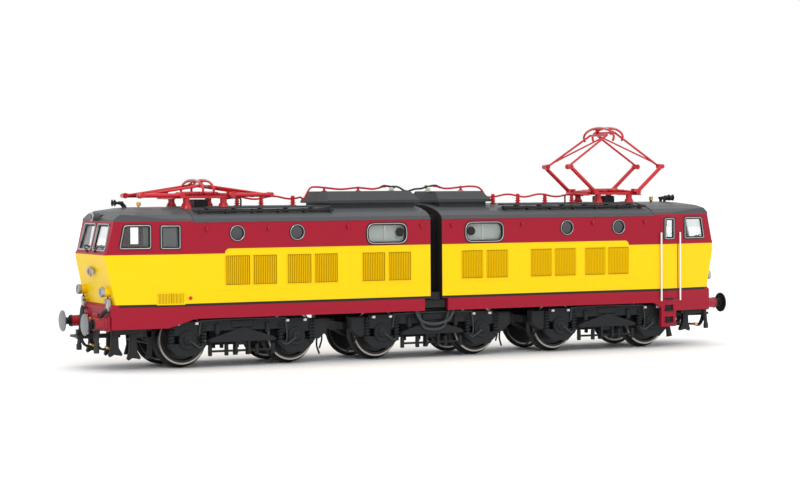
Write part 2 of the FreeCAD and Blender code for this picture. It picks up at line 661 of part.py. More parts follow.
def coupler():
    """Draw hook on a swinging shank under the buffer beam."""
    shank = box((-101.0, -0.8, 8.6), (8.6, 1.6, 1.2))
    eye = rod(1.5, 1.2, (-92.4, 0, 8.6), "z")
    hook = raised([[(-103.6, 8.6), (-103.6, 11.2), (-102.8, 11.2), (-102.4, 9.8), (-101, 9.8),
                    (-101, 8.6)]], "xz", -0.8, 1.6)
    loop = join([box((-102.2, -3.4, 9.0), (0.7, 6.8, 0.7)), box((-104.4, -3.4, 9.0),
                                                                (0.6, 6.8, 0.7)),
                 box((-104.4, -3.4, 9.0), (2.9, 0.6, 0.7)), box((-104.4, 2.8, 9.0),
                                                                (2.9, 0.6, 0.7))])
    return less(join([shank, eye, hook, loop]), [rod("0.8 + run_gap", 4, (-92.4, 0, 7.6), "z")])


keep("coupler_front", coupler())
keep("coupler_rear", half_turned(coupler(), "coupler_rear"))

# ------------------------------------------------------------------ wheelsets and gears

def plane_of(body, role):
    """An origin plane or axis of a body."""
    return [item for item in body.Origin.OriginFeatures if item.Role == role][0]


def gear(teeth, bore, name, phase):
    """A spur gear about Y with thin trapezoid teeth; phase turns the first tooth from +X."""
    body = doc.addObject("PartDesign::Body", name)
    pitch = SIZE["gear_module"] * teeth / 2
    disc = body.newObject("Sketcher::SketchObject", name + "_disc")
    disc.AttachmentSupport = [(plane_of(body, "XZ_Plane"), "")]
    disc.MapMode = "FlatFace"
    disc.addGeometry(Part.Circle(Vector(), Vector(0, 0, 1), pitch - 0.45), False)
    size = disc.addConstraint(Sketcher.Constraint("Radius", 0, pitch - 0.45))
    bind(disc, f"Constraints[{size}]", f"gear_module * {teeth / 2} - 0.45")
    if bore:
        disc.addGeometry(Part.Circle(Vector(), Vector(0, 0, 1), bore), False)
    pad = body.newObject("PartDesign::Pad", name + "_pad")
    pad.Profile = disc
    pad.Midplane = True
    bind(pad, "Length", "gear_width")
    tooth = body.newObject("Sketcher::SketchObject", name + "_tooth")
    tooth.AttachmentSupport = [(plane_of(body, "XZ_Plane"), "")]
    tooth.MapMode = "FlatFace"
    corners = [(pitch - 0.6, -0.33), (pitch, -0.23), (pitch + 0.33, -0.1),
               (pitch + 0.33, 0.1), (pitch, 0.23), (pitch - 0.6, 0.33)]
    for i, corner in enumerate(corners):
        after = corners[(i + 1) % len(corners)]
        tooth.addGeometry(Part.LineSegment(Vector(*corner, 0), Vector(*after, 0)), False)
    tooth_pad = body.newObject("PartDesign::Pad", name + "_tooth_pad")
    tooth_pad.Profile = tooth
    tooth_pad.Midplane = True
    bind(tooth_pad, "Length", "gear_width")
    ring = body.newObject("PartDesign::PolarPattern", name + "_ring")
    ring.Originals = [tooth_pad]
    ring.Axis = (plane_of(body, "Y_Axis"), [""])
    ring.Angle = 360
    ring.Occurrences = teeth
    body.Tip = ring
    body.Placement = FreeCAD.Placement(Vector(), FreeCAD.Rotation(Vector(0, 1, 0), -phase))
    return body


def wheel_profile():
    """Half section of an axle with both wheels: radius against place along the axle."""
    one = [(1.25, "wheel_back"), ("flange_radius - 0.5", "wheel_back"),
           ("flange_radius", "wheel_back + 0.25"), ("flange_radius", "wheel_back + 0.5"),
           ("tread_radius + 0.25", "wheel_back + 0.85"), ("tread_radius", "wheel_back + 1.1"),
           ("tread_radius - 0.1", "wheel_back + 3.0"), ("tread_radius - 1.2", "wheel_back + 3.0"),
           ("tread_radius - 1.5", "wheel_back + 2.2"), (2.4, "wheel_back + 2.2"),
           (2.2, "wheel_back + 3.0"), (0, "wheel_back + 3.0")]
    other = [(radius, place.replace("wheel_back", "-wheel_back").replace("+", "-"))
             for radius, place in reversed(one)]
    return other + one


def wheelset(x, name, with_gear=None):
    """Two wheels on an axle, with a gear on the driven ones."""
    made = turned(wheel_profile())
    if with_gear is not None:
        made = join([made, gear(20, 0, name + "_gear", with_gear)])
    holder = doc.addObject("Part::Compound", name)
    holder.Links = [made]
    place(holder, (x, 0, "axle_height"))
    return keep(name, holder)


CENTRE = -SIZE["bogie_pitch"]
WHEEL = (0.0, 16.9)
IDLER = (7.755, 11.24)
AXLE = (16.4, 8.1)


def mesh_phase(one, two, teeth_one, teeth_two, phase_one):
    """Turn of the second gear that puts its gap opposite the first gear's tooth."""
    heading = math.degrees(math.atan2(two[1] - one[1], two[0] - one[0]))
    share = (phase_one - heading) * teeth_one / 360
    return (heading + 180) + (0.5 - share) * 360 / teeth_two


WORM_TEETH, IDLER_TEETH, AXLE_TEETH = 22, 26, 20
wheel_phase = 90.0
for word, sign in (("front", -1), ("rear", 1)):
    spot = (sign * IDLER[0], IDLER[1])
    far = (sign * AXLE[0], AXLE[1])
    idler_phase = mesh_phase(WHEEL, spot, WORM_TEETH, IDLER_TEETH, wheel_phase)
    axle_phase = mesh_phase(spot, far, IDLER_TEETH, AXLE_TEETH, idler_phase)
    body = gear(IDLER_TEETH, 0, f"idler_{word}_teeth", idler_phase)
    pins = rod(1.0, 7.0, (0, -3.5, 0), "y")
    made = join([body, pins], f"idler_gear_{word}")
    made.Placement = FreeCAD.Placement(Vector(CENTRE + spot[0], 0, spot[1]), FreeCAD.Rotation())
    keep(f"idler_gear_{word}", made)
    axle_x = f"-bogie_pitch + {sign} * half_wheelbase"
    wheelset(axle_x, f"wheelset_{1 if sign < 0 else 2}", axle_phase)
wheelset("-half_wheelbase", "wheelset_3")
wheelset("half_wheelbase", "wheelset_4")
wheelset("bogie_pitch - half_wheelbase", "wheelset_5")
wheelset("bogie_pitch + half_wheelbase", "wheelset_6")

worm_gear = join([gear(WORM_TEETH, 0, "worm_wheel_teeth", wheel_phase),
                  rod(1.0, 7.0, (0, -3.5, 0), "y")], "worm_wheel")
worm_gear.Placement = FreeCAD.Placement(Vector(CENTRE, 0, WHEEL[1]), FreeCAD.Rotation())
keep("worm_wheel", worm_gear)

helix = doc.addObject("Part::Helix", "worm_path")
helix.Pitch = math.pi * SIZE["gear_module"]
helix.Height = 5 * math.pi * SIZE["gear_module"]
helix.Radius = 2.0
thread_sketch = doc.addObject("Sketcher::SketchObject", "worm_tooth")
thread = [(1.9, -0.3), (2.8, -0.12), (2.8, 0.12), (1.9, 0.3)]
for i, corner in enumerate(thread):
    after = thread[(i + 1) % 4]
    thread_sketch.addGeometry(Part.LineSegment(Vector(*corner, 0), Vector(*after, 0)), False)
thread_sketch.Placement = FreeCAD.Placement(Vector(), DRAWN["xz"])
sweep = doc.addObject("Part::Sweep", "worm_thread")
sweep.Sections = [thread_sketch]
sweep.Spine = (helix, ["Edge1"])
sweep.Solid = True
sweep.Frenet = True
core = rod(2.02, 8.2, (0, 0, -0.96), "z")
shaft = rod(0.8, 13.5, (0, 0, -3.76), "z")
cup = less(rod(2.6, 3.4, (0, 0, 9.6), "z"), [rod(2.0, 3.0, (0, 0, 10.2), "z")])
worm = join([core, shaft, cup, sweep], "worm")
worm.Placement = FreeCAD.Placement(Vector(CENTRE - 2.5 * helix.Pitch.Value, 0,
                                          SIZE["worm_height"]), ALONG_X)
keep("worm", worm)

# ------------------------------------------------------------------ bogies

def bogie_frame(x, driven):
    """Inner frame with the axle bearings and the pivot."""
    ends = [(-26.4, 9.0), (-26.4, 11.6), (-20.5, 14.8), (20.5, 14.8), (26.4, 11.6),
            (26.4, 9.0), (20.0, 5.6), (-20.0, 5.6)]
    wide = 8.0 if driven else 6.0
    centre = raised([[(x + a, b) for a, b in ends]], "xz", -wide / 2, wide)
    bolster = box((x - 5, -12.9, 12.2), (10, 25.8, 2.2))
    cross = [box((x + e * 26.0 - 0.8, -9.4, 9.0), (1.6, 18.8, 2.2)) for e in (1, -1)]
    solids = [centre, bolster] + cross
    cuts = [rod("1.25 + run_gap", 20, (x + e * 16.4, -10, "axle_height"), "y")
            for e in (1, -1)]
    if driven:
        case = raised([[(x - 6.2, 14), (x - 6.2, 28.0), (x + 6.2, 28.0), (x + 6.2, 14)]],
                      "xz", -4.0, 8.0)
        shoulder = raised([[(x - 14.6, 14), (x - 14.6, 15.6), (x - 10, 18.0), (x + 10, 18.0),
                            (x + 14.6, 15.6), (x + 14.6, 14)]], "xz", -4.0, 8.0)
        solids += [case, shoulder, rod("pin_radius", 2.0, (x, 0, 27.5), "z")]
        cuts.append(rod(5.1, 2.6, (x, -1.3, 16.9), "y"))
        cuts.append(rod(3.2, 9.2, (x - 4.6, 0, "worm_height"), "x"))
        cuts.append(box((x - 2.6, -1.3, 18), (5.2, 2.6, 4)))
        for e in (1, -1):
            cuts.append(rod(5.95, 2.6, (x + e * IDLER[0], -1.3, IDLER[1]), "y"))
            cuts.append(rod(4.75, 2.6, (x + e * 16.4, -1.3, "axle_height"), "y"))
            cuts.append(rod("1.0 + run_gap", 7.2, (x + e * IDLER[0], -3.6, IDLER[1]), "y"))
        cuts.append(rod("1.0 + run_gap", 7.2, (x, -3.6, 16.9), "y"))
        cuts.append(rod("0.8 + run_gap", 16, (x - 8, 0, "worm_height"), "x"))
    else:
        solids.append(rod(4.4, 2.2, (x, 0, 14.6), "z"))
        if x:
            solids.append(rod("pin_radius", 4.8, (x, 0, 14.6), "z"))
        else:
            cuts.append(rod("pin_tail + run_gap", 4.0, (0, 0, 13.4), "z"))
    return less(join(solids), cuts)


keep("bogie_frame_front", bogie_frame(CENTRE, True))
keep("bogie_frame_middle", bogie_frame(0.0, False))
keep("bogie_frame_rear", bogie_frame(-CENTRE, False))
keep("pivot_pin_middle", join([rod("pin_radius", 2.6, (0, 0, 16.8), "z"),
                               rod("pin_tail", 3.4, (0, 0, 13.42), "z")], "pivot_pin"))


def side_frames(x, outer):
    """Both dark side frames: beam, axle boxes, keel plates, equaliser plate and springs."""
    sides = []
    for side in (1, -1):
        face = 12.9
        depth = 1.4
        def plate(points, out=depth, start=face):
            low = start if side > 0 else -start - out
            return raised([[(x + a, b) for a, b in points]], "xz", low, out)
        pieces = [plate([(-20.6, 9.4), (-20.6, 13.2), (20.6, 13.2), (20.6, 9.4), (13.0, 9.0),
                         (11.0, 10.4), (-11.0, 10.4), (-13.0, 9.0)])]
        pieces.append(plate([(-10.2, 7.6), (-9.4, 8.3), (0, 11.2), (9.4, 8.3), (10.2, 7.6),
                             (9.4, 7.2), (-9.4, 7.2)], 1.9))
        pieces.append(plate([(-2.4, 3.4), (-2.4, 8), (2.4, 8), (2.4, 3.4), (1.4, 3.4),
                             (1.4, 6.2), (-1.4, 6.2), (-1.4, 3.4)], 1.2))
        for end in (1, -1):
            a = end * 16.4
            y0 = face if side > 0 else -face - 1.7
            pieces.append(rod(2.5, 1.7, (x + a, y0, "axle_height"), "y"))
            pieces.append(plate([(a - 5.4, 6.2), (a - 5.4, 7.0), (a + 5.4, 7.0), (a + 5.4, 6.2),
                                 (a + 2.6, 3.6), (a - 2.6, 3.6)], 1.5))
            pieces.append(plate([(a - 5.2, 6.4), (a - 5.2, 10), (a - 4.2, 10), (a - 4.2, 6.4)]))
            if end * outer <= 0 or outer == 0:
                pieces.append(plate([(a + 4.2, 6.4), (a + 4.2, 10), (a + 5.2, 10),
                                     (a + 5.2, 6.4)], 1.4) if end > 0 else
                              plate([(a + 4.2, 6.4), (a + 4.2, 10), (a + 5.2, 10),
                                     (a + 5.2, 6.4)]))
        sides.append(join(pieces))
    return group(sides)


keep("side_frames_front", side_frames(CENTRE, -1))
keep("side_frames_middle", side_frames(0.0, 0))
keep("side_frames_rear", side_frames(-CENTRE, 1))

# ------------------------------------------------------------------ check and write

doc.recompute()
os.makedirs("parts", exist_ok=True)
for thing in doc.Objects:
    if "Invalid" in thing.State or "Error" in thing.State:
        raise ValueError(f"{thing.Name} {thing.Label} did not build: {thing.State}")
for name, thing in sorted(PARTS.items()):
    shape = thing.Shape
    if shape.isNull() or not shape.isValid() or not shape.Solids:
        raise ValueError(f"{name} has no valid solid")
    shape.exportStep(f"parts/{name}.step")
    print(f"{name:34s} solids {len(shape.Solids):2d} faces {len(shape.Faces):4d} "
          f"volume {shape.Volume:9.2f}")
print(len(PARTS), "sub-parts")
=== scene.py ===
"""Looks of a model electric locomotive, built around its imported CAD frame."""

import math

import bmesh
import bpy
import numpy as np
from mathutils import Matrix, Vector


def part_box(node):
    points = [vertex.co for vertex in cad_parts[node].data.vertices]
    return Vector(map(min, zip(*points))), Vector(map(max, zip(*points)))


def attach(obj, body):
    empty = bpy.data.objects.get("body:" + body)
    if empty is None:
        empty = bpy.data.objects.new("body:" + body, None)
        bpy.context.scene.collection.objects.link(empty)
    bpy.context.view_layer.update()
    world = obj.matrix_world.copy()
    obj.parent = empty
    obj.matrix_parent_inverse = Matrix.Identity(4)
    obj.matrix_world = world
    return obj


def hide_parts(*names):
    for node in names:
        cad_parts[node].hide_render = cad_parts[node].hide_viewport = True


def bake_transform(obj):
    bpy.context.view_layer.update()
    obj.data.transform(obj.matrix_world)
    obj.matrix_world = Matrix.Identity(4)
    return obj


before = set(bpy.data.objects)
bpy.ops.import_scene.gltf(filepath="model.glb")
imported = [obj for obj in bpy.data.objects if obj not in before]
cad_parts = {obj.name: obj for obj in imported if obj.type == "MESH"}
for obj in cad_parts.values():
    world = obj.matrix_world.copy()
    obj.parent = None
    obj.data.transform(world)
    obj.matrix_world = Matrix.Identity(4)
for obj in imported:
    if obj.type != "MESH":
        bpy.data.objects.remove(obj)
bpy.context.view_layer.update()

bl_info = {
    "name": "Model locomotive looks",
    "version": (1, 0, 0),
    "blender": (4, 5, 0),
    "location": "3D View > Sidebar > Locomotive",
    "description": "Builds the visible surfaces and finishes of a model electric locomotive",
    "category": "Object",
}

MM = 0.001
SHARP_EDGE = math.radians(35)

# sizes in millimetres; the cab taper is a slope
BOGIE_PITCH = 59.8
HALF_WHEELBASE = 16.4
AXLE_HEIGHT = 8.1
BODY_HALF_WIDTH = 17.2
TAPER_START = 80.0
CAB_TAPER = 0.209
PANTO_CENTRE = 67.5
HEAD_OFFSET = 0.5
HEAD_RISE = 2.4
HEAD_ARCH_HALF, HEAD_ARCH_DROP = 8.9, 2.9
WIRE_SIDE = 3.4
PORTHOLES, PORTHOLE_HEIGHT, PORTHOLE_RADIUS = (-62.3, -44.1), 37.6, 2.2
TOP_LAMP = (-99.0, 0, 42.4)
BUFFER_SIDE, BUFFER_HEIGHT = 10.06, 13.1
BELLOWS_HALF_LENGTH = 1.78

# edges between colours, in metres
BELT_STEP = 0.00135
SKIRT_TOP, DARK_LINE_TOP, CAB_BELT = 0.0176, 0.01835, 0.032
ROOM_END, CAB_ROOF_END, BODY_END = 0.0646, 0.0752, 0.0958
ROOF_EDGE, ROOF_LIFT = 0.0408, 0.0004
JOINT_EDGE = 0.00195
LAMP_TOP, LAMP_NECK, LAMP_FRONT = 0.025, 0.0965, 0.0989
# GROOVE_SIDE: louvre surfaces further in from the side than this get painted groove shade
RAIL_SIDE, GROOVE_SIDE = 0.01742, 0.01692
BUFFER_FACE = 0.10435
TYRE_INNER, TYRE_OUTER = 0.0066, 0.00708

# the camera: metres, degrees and millimetres of lens
CAMERA_PLACE = (-0.28629, -0.57515, 0.05037)
CAMERA_YAW_PITCH_ROLL = (26.196, 1.698, -0.380)
CAMERA_LENS = 96.89

# which body carries each half, and whether it is turned half round
UNITS = (("front", "front_unit", False), ("rear", "rear_unit", True))


# ------------------------------------------------------------------ surfaces

def smooth_path(points, steps=8, closed=False):
    """A Catmull-Rom curve: each span is the cubic through its two ends whose slopes are
    half the distance between the neighbours on either side."""
    p = np.asarray(points, float)
    if closed:
        p = np.vstack([p[-1], p, p[0], p[1]])
    else:
        p = np.vstack([2 * p[0] - p[1], p, 2 * p[-1] - p[-2]])
    t = np.linspace(0, 1, steps, endpoint=False)[:, None, None]
    a, b, c, d = p[None, :-3], p[None, 1:-2], p[None, 2:-1], p[None, 3:]
    curve = 0.5 * (2 * b + (c - a) * t + (2 * a - 5 * b + 4 * c - d) * t ** 2
                   + (3 * b - a - 3 * c + d) * t ** 3)
    curve = curve.transpose(1, 0, 2).reshape(-1, p.shape[1])
    return curve if closed else np.vstack([curve, p[-2]])


def tube(path, radius, sides=10, closed=False):
    """A circle carried along a path: point = path + radius (cos a * side + sin a * up), where
    side and up are turned as little as possible from each place to the next."""
    p = np.asarray(path, float)
    if closed:
        tangent = np.roll(p, -1, 0) - np.roll(p, 1, 0)
    else:
        tangent = np.gradient(p, axis=0)
    tangent /= np.linalg.norm(tangent, axis=1)[:, None] + 1e-12
    guide = np.array([0.0, 0.0, 1.0]) if abs(tangent[0, 2]) < 0.8 else np.array([0.0, 1, 0])
    sides_at = np.zeros_like(p)
    last = np.cross(guide, tangent[0])
    for i, along in enumerate(tangent):
        last = last - along * np.dot(last, along)
        last = last / np.linalg.norm(last)
        sides_at[i] = last
    up = np.cross(tangent, sides_at)
    angle = np.linspace(0, 2 * np.pi, sides, endpoint=False)
    r = np.broadcast_to(np.asarray(radius, float), (len(p),))[:, None, None]
    return (p[:, None] + r * (np.cos(angle)[None, :, None] * sides_at[:, None]
                              + np.sin(angle)[None, :, None] * up[:, None]))


def lathe(profile, centre, axis="z", sides=24):
    """A profile of (radius, distance along the axis) turned about an axis through centre:
    point = centre + distance * axis + radius (cos a * side + sin a * up)."""
    turn = {"x": (1, 2, 0), "y": (2, 0, 1), "z": (0, 1, 2)}[axis]
    prof = np.asarray(profile, float)
    angle = np.linspace(0, 2 * np.pi, sides, endpoint=False)
    out = np.zeros((len(prof), sides, 3))
    out[:, :, turn[0]] = prof[:, :1] * np.cos(angle)
    out[:, :, turn[1]] = prof[:, :1] * np.sin(angle)
    out[:, :, turn[2]] = prof[:, 1:]
    return out + np.asarray(centre, float)


def slab(outline, low, high, plane="xz", bevel=0.12):
    """A flat outline raised from low to high with rounded-off edges: four rings, the first and
    last drawn in toward the outline's centre by the bevel."""
    line = np.asarray(outline, float)
    centre = (line.max(0) + line.min(0)) / 2
    half = np.maximum((line.max(0) - line.min(0)) / 2, 1e-6)
    inner = centre + (line - centre) * np.clip(1 - bevel / half, 0.05, 1)
    lift = np.sign(high - low) * min(bevel, abs(high - low) / 2.5)
    rings = [(inner, low), (line, low + lift), (line, high - lift), (inner, high)]
    place = {"xz": (0, 2, 1), "xy": (0, 1, 2), "yz": (1, 2, 0)}[plane]
    out = np.zeros((4, len(line), 3))
    for i, (ring, level) in enumerate(rings):
        out[i, :, place[0]] = ring[:, 0]
        out[i, :, place[1]] = ring[:, 1]
        out[i, :, place[2]] = level
    return out


def block(low, high, bevel=0.12):
    """A block with rounded-off edges, as a raised rectangle with cut corners."""
    (x0, y0, z0), (x1, y1, z1) = low, high
    b = min(bevel, (x1 - x0) / 3, (y1 - y0) / 3)
    line = [(x0 + b, y0), (x1 - b, y0), (x1, y0 + b), (x1, y1 - b), (x1 - b, y1), (x0 + b, y1),
            (x0, y1 - b), (x0, y0 + b)]
    return slab(line, z0, z1, "xy", bevel)


def side_block(side, along, across, heights, bevel=0.12):
    """A block on one side of the middle plane; across gives its two distances from there."""
    y0, y1 = sorted((side * across[0], side * across[1]))
    return block((along[0], y0, heights[0]), (along[1], y1, heights[1]), bevel)


def framed(path, inward, outward, profile):
    """A cross-section carried round a closed path: point = path + a * inward + b * outward."""
    prof = np.asarray(profile, float)
    return (path[:, None] + prof[None, :, :1] * inward[:, None]
            + prof[None, :, 1:] * outward[:, None])


def rounded_loop(corners, radius, steps=5):
    """Straight sides joined by arcs: each corner becomes a quadratic curve that starts and
    ends a radius away from it."""
    c = np.asarray(corners, float)
    before, after = np.roll(c, 1, 0), np.roll(c, -1, 0)
    back = before - c
    ahead = after - c
    lb, la = np.linalg.norm(back, axis=1), np.linalg.norm(ahead, axis=1)
    start = c + back * np.minimum(radius / lb, 0.48)[:, None]
    end = c + ahead * np.minimum(radius / la, 0.48)[:, None]
    t = np.linspace(0, 1, steps + 1)[None, :, None]
    arc = (1 - t) ** 2 * start[:, None] + 2 * t * (1 - t) * c[:, None] + t ** 2 * end[:, None]
    return arc.reshape(-1, 2)


class Builder:
    """Collects surfaces in millimetres, each with the name of its finish, and turns them into
    one mesh."""

    def __init__(self, turned=False):
        """Start empty; turned is true for the rear half, half a turn round from the front."""
        self.points, self.faces, self.kinds, self.count = [], [], [], 0
        self.turned = turned

    def grid(self, points, kind, closed=False):
        """Faces between the rows of a grid.  Rows wrap round; closed joins last row to first,
        and otherwise the two end rows are capped."""
        rows, cols = points.shape[:2]
        index = np.arange(rows * cols).reshape(rows, cols)
        i = np.arange(rows if closed else rows - 1)
        j = np.arange(cols)
        a = index[i][:, j]
        b = index[i][:, (j + 1) % cols]
        c = index[(i + 1) % rows][:, (j + 1) % cols]
        d = index[(i + 1) % rows][:, j]
        quads = np.stack([a, b, c, d], -1).reshape(-1, 4) + self.count
        self.faces += quads.tolist()
        self.kinds += [kind] * len(quads)
        if not closed:
            self.faces.append((index[0][::-1] + self.count).tolist())
            self.faces.append((index[-1] + self.count).tolist())
            self.kinds += [kind, kind]
        self.points.append(points.reshape(-1, 3))
        self.count += rows * cols
        return self

    def sheet(self, points, back, kind):
        """A thin closed piece: a surface and a copy of it moved by back, joined at the edges."""
        both = np.concatenate([points, points[:, ::-1] + np.asarray(back, float)], axis=1)
        return self.grid(both, kind)

    def make(self, name, body, slot):
        """Write the mesh, put normals outward and let it ride on its body."""
        points = np.vstack(self.points) * MM
        if self.turned:
            points = points * np.array([-1.0, -1.0, 1.0])
        mesh = bpy.data.meshes.new(name)
        mesh.from_pydata(points.tolist(), [], self.faces)
        used = {kind: i for i, kind in enumerate(sorted(set(self.kinds)))}
        for kind in used:
            mesh.materials.append(MATERIALS[kind])
        mesh.polygons.foreach_set("material_index",
                                  np.asarray([used[kind] for kind in self.kinds], np.int32))
        mesh.update()
        made = bpy.data.objects.new(name, mesh)
        bpy.context.scene.collection.objects.link(made)
        work = bmesh.new()
        work.from_mesh(mesh)
        bmesh.ops.remove_doubles(work, verts=work.verts, dist=1e-7)
        bmesh.ops.recalc_face_normals(work, faces=work.faces)
        work.to_mesh(mesh)
        work.free()
        mesh.shade_smooth()
        mesh.set_sharp_from_angle(angle=SHARP_EDGE)
        if body:
            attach(made, body)
        return made


# ------------------------------------------------------------------ materials

def group_tree(name, inputs, outputs):
    """An empty shader node group with named value sockets."""
    tree = bpy.data.node_groups.new(name, "ShaderNodeTree")
    for label, kind, default in inputs:
        socket = tree.interface.new_socket(label, in_out="INPUT", socket_type=kind)
        socket.default_value = default
    for label, kind in outputs:
        tree.interface.new_socket(label, in_out="OUTPUT", socket_type=kind)
    return tree, tree.nodes.new("NodeGroupInput"), tree.nodes.new("NodeGroupOutput")


class Graph:
    """Short words for adding linked nodes to a tree."""

    def __init__(self, tree):
        """Keep the tree that the nodes go into."""
        self.tree = tree

    def node(self, kind, **settings):
        """A new node with its settings."""
        made = self.tree.nodes.new(kind)
        for key, value in settings.items():
            setattr(made, key, value)
        return made

    def feed(self, socket, value):
        """Link an output to a socket, or set the socket to a number or colour."""
        if hasattr(value, "is_output"):
            self.tree.links.new(value, socket)
        else:
            socket.default_value = value

    def math(self, operation, a, b=0.0):
        """One arithmetic step on two values."""
        made = self.node("ShaderNodeMath", operation=operation)
        self.feed(made.inputs[0], a)
        self.feed(made.inputs[1], b)
        return made.outputs[0]

    def above(self, value, level, soft=0.00006):
        """0 below a level and 1 above it, with a very short slope between."""
        made = self.node("ShaderNodeMapRange", clamp=True)
        self.feed(made.inputs[0], value)
        for i, number in ((1, -soft), (2, soft)):
            self.feed(made.inputs[i], self.math("ADD", level, number)
                      if hasattr(level, "is_output") else level + number)
        return made.outputs[0]

    def mix(self, factor, a, b):
        """Colour a where the factor is 0 and colour b where it is 1."""
        made = self.node("ShaderNodeMix", data_type="RGBA")
        self.feed(made.inputs[0], factor)
        self.feed(made.inputs[6], a)
        self.feed(made.inputs[7], b)
        return made.outputs[2]

    def place(self):
        """Object coordinates."""
        return self.node("ShaderNodeTexCoord").outputs["Object"]

    def axes(self):
        """The three Object coordinates one by one."""
        split = self.node("ShaderNodeSeparateXYZ")
        self.feed(split.inputs[0], self.place())
        return split.outputs[0], split.outputs[1], split.outputs[2]

    def noise(self, scale, detail=3.0):
        """Smooth noise in Object coordinates."""
        made = self.node("ShaderNodeTexNoise")
        self.feed(made.inputs["Vector"], self.place())
        self.feed(made.inputs["Scale"], scale)
        self.feed(made.inputs["Detail"], detail)
        return made.outputs[0]


def build_groups():
    """The shared effects: lacquer grain, settled dust and turning marks."""
    groups = {}
    colour, value = "NodeSocketColor", "NodeSocketFloat"
    tree, inn, out = group_tree("lacquer_grain", [("Color", colour, (1, 1, 1, 1)),
                                                  ("Amount", value, 0.06),
                                                  ("Roughness", value, 0.35),
                                                  ("Scale", value, 900.0)],
                                [("Color", colour), ("Roughness", value), ("Height", value)])
    g = Graph(tree)
    broad = g.noise(90.0, 2.0)
    fine = g.noise(inn.outputs["Scale"], 4.0)
    dim = g.node("ShaderNodeHueSaturation")
    g.feed(dim.inputs["Color"], inn.outputs["Color"])
    g.feed(dim.inputs["Value"], 0.82)
    share = g.math("MULTIPLY", broad, g.math("MULTIPLY", inn.outputs["Amount"], 4.0))
    g.feed(out.inputs["Color"], g.mix(share, inn.outputs["Color"], dim.outputs[0]))
    shift = g.math("MULTIPLY", g.math("SUBTRACT", fine, 0.5), 0.25)
    g.feed(out.inputs["Roughness"], g.math("ADD", inn.outputs["Roughness"], shift))
    g.feed(out.inputs["Height"], fine)
    groups["grain"] = tree

    tree, inn, out = group_tree("settled_dust", [("Color", colour, (1, 1, 1, 1)),
                                                 ("Roughness", value, 0.5),
                                                 ("Amount", value, 0.15)],
                                [("Color", colour), ("Roughness", value)])
    g = Graph(tree)
    split = g.node("ShaderNodeSeparateXYZ")
    g.feed(split.inputs[0], g.node("ShaderNodeNewGeometry").outputs["Normal"])
    flat = g.math("MAXIMUM", split.outputs[2], 0.12)
    patch = g.math("MULTIPLY", g.noise(420.0, 5.0), flat)
    mask = g.math("MULTIPLY", patch, inn.outputs["Amount"])
    g.feed(out.inputs["Color"], g.mix(mask, inn.outputs["Color"], (0.30, 0.28, 0.25, 1)))
    g.feed(out.inputs["Roughness"], g.math("ADD", inn.outputs["Roughness"],
                                           g.math("MULTIPLY", mask, 0.5)))
    groups["dust"] = tree

    tree, inn, out = group_tree("turning_marks", [("Center X", value, 0.0),
                                                  ("Center Z", value, 0.0),
                                                  ("Rings", value, 9000.0)],
                                [("Distance", value), ("Rings", value)])
    g = Graph(tree)
    x, _, z = g.axes()
    dx = g.math("SUBTRACT", x, inn.outputs["Center X"])
    dz = g.math("SUBTRACT", z, inn.outputs["Center Z"])
    away = g.math("SQRT", g.math("ADD", g.math("MULTIPLY", dx, dx),
                                 g.math("MULTIPLY", dz, dz)))
    g.feed(out.inputs["Distance"], away)
    g.feed(out.inputs["Rings"], g.math("SINE", g.math("MULTIPLY", away,
                                                      inn.outputs["Rings"])))
    groups["rings"] = tree
    return groups


GROUPS = {}


def shader(name, metallic=0.0, coat=0.0, transmission=0.0, ior=1.45, specular=0.5):
    """A new material with its principled shader; constants sit on the shader's own sockets."""
    made = bpy.data.materials.new(name)
    made.use_nodes = True
    surface = made.node_tree.nodes["Principled BSDF"]
    surface.inputs["Metallic"].default_value = metallic
    surface.inputs["Coat Weight"].default_value = coat
    surface.inputs["Coat Roughness"].default_value = 0.12
    surface.inputs["Transmission Weight"].default_value = transmission
    surface.inputs["IOR"].default_value = ior
    surface.inputs["Specular IOR Level"].default_value = specular
    return made, surface, Graph(made.node_tree)


def finished(name, color, rough=0.4, metallic=0.0, coat=0.0, grain=0.05, dust=0.1,
             bump=0.02, scale=900.0, pattern=None, specular=0.3):
    """A painted, moulded or plated finish: grain then dust over a colour or a colour pattern."""
    made, surface, g = shader(name, metallic, coat, specular=specular)
    base = pattern(g) if pattern else tuple(color) + (1.0,)
    first = g.node("ShaderNodeGroup", node_tree=GROUPS["grain"])
    g.feed(first.inputs["Color"], base)
    g.feed(first.inputs["Amount"], grain)
    g.feed(first.inputs["Roughness"], rough)
    g.feed(first.inputs["Scale"], scale)
    second = g.node("ShaderNodeGroup", node_tree=GROUPS["dust"])
    g.feed(second.inputs["Color"], first.outputs["Color"])
    g.feed(second.inputs["Roughness"], first.outputs["Roughness"])
    g.feed(second.inputs["Amount"], dust)
    g.feed(surface.inputs["Base Color"], second.outputs["Color"])
    g.feed(surface.inputs["Roughness"], second.outputs["Roughness"])
    lump = g.node("ShaderNodeBump")
    lump.inputs["Strength"].default_value = bump
    lump.inputs["Distance"].default_value = 0.0001
    g.feed(lump.inputs["Height"], first.outputs["Height"])
    g.feed(surface.inputs["Normal"], lump.outputs[0])
    return made


def stand_out(g, x, y):
    """Distance out from the middle plane, with the taper of the cab sides taken away."""
    past = g.math("MAXIMUM", g.math("SUBTRACT", g.math("ABSOLUTE", x), TAPER_START * MM), 0.0)
    return g.math("ADD", g.math("ABSOLUTE", y), g.math("MULTIPLY", past, CAB_TAPER))


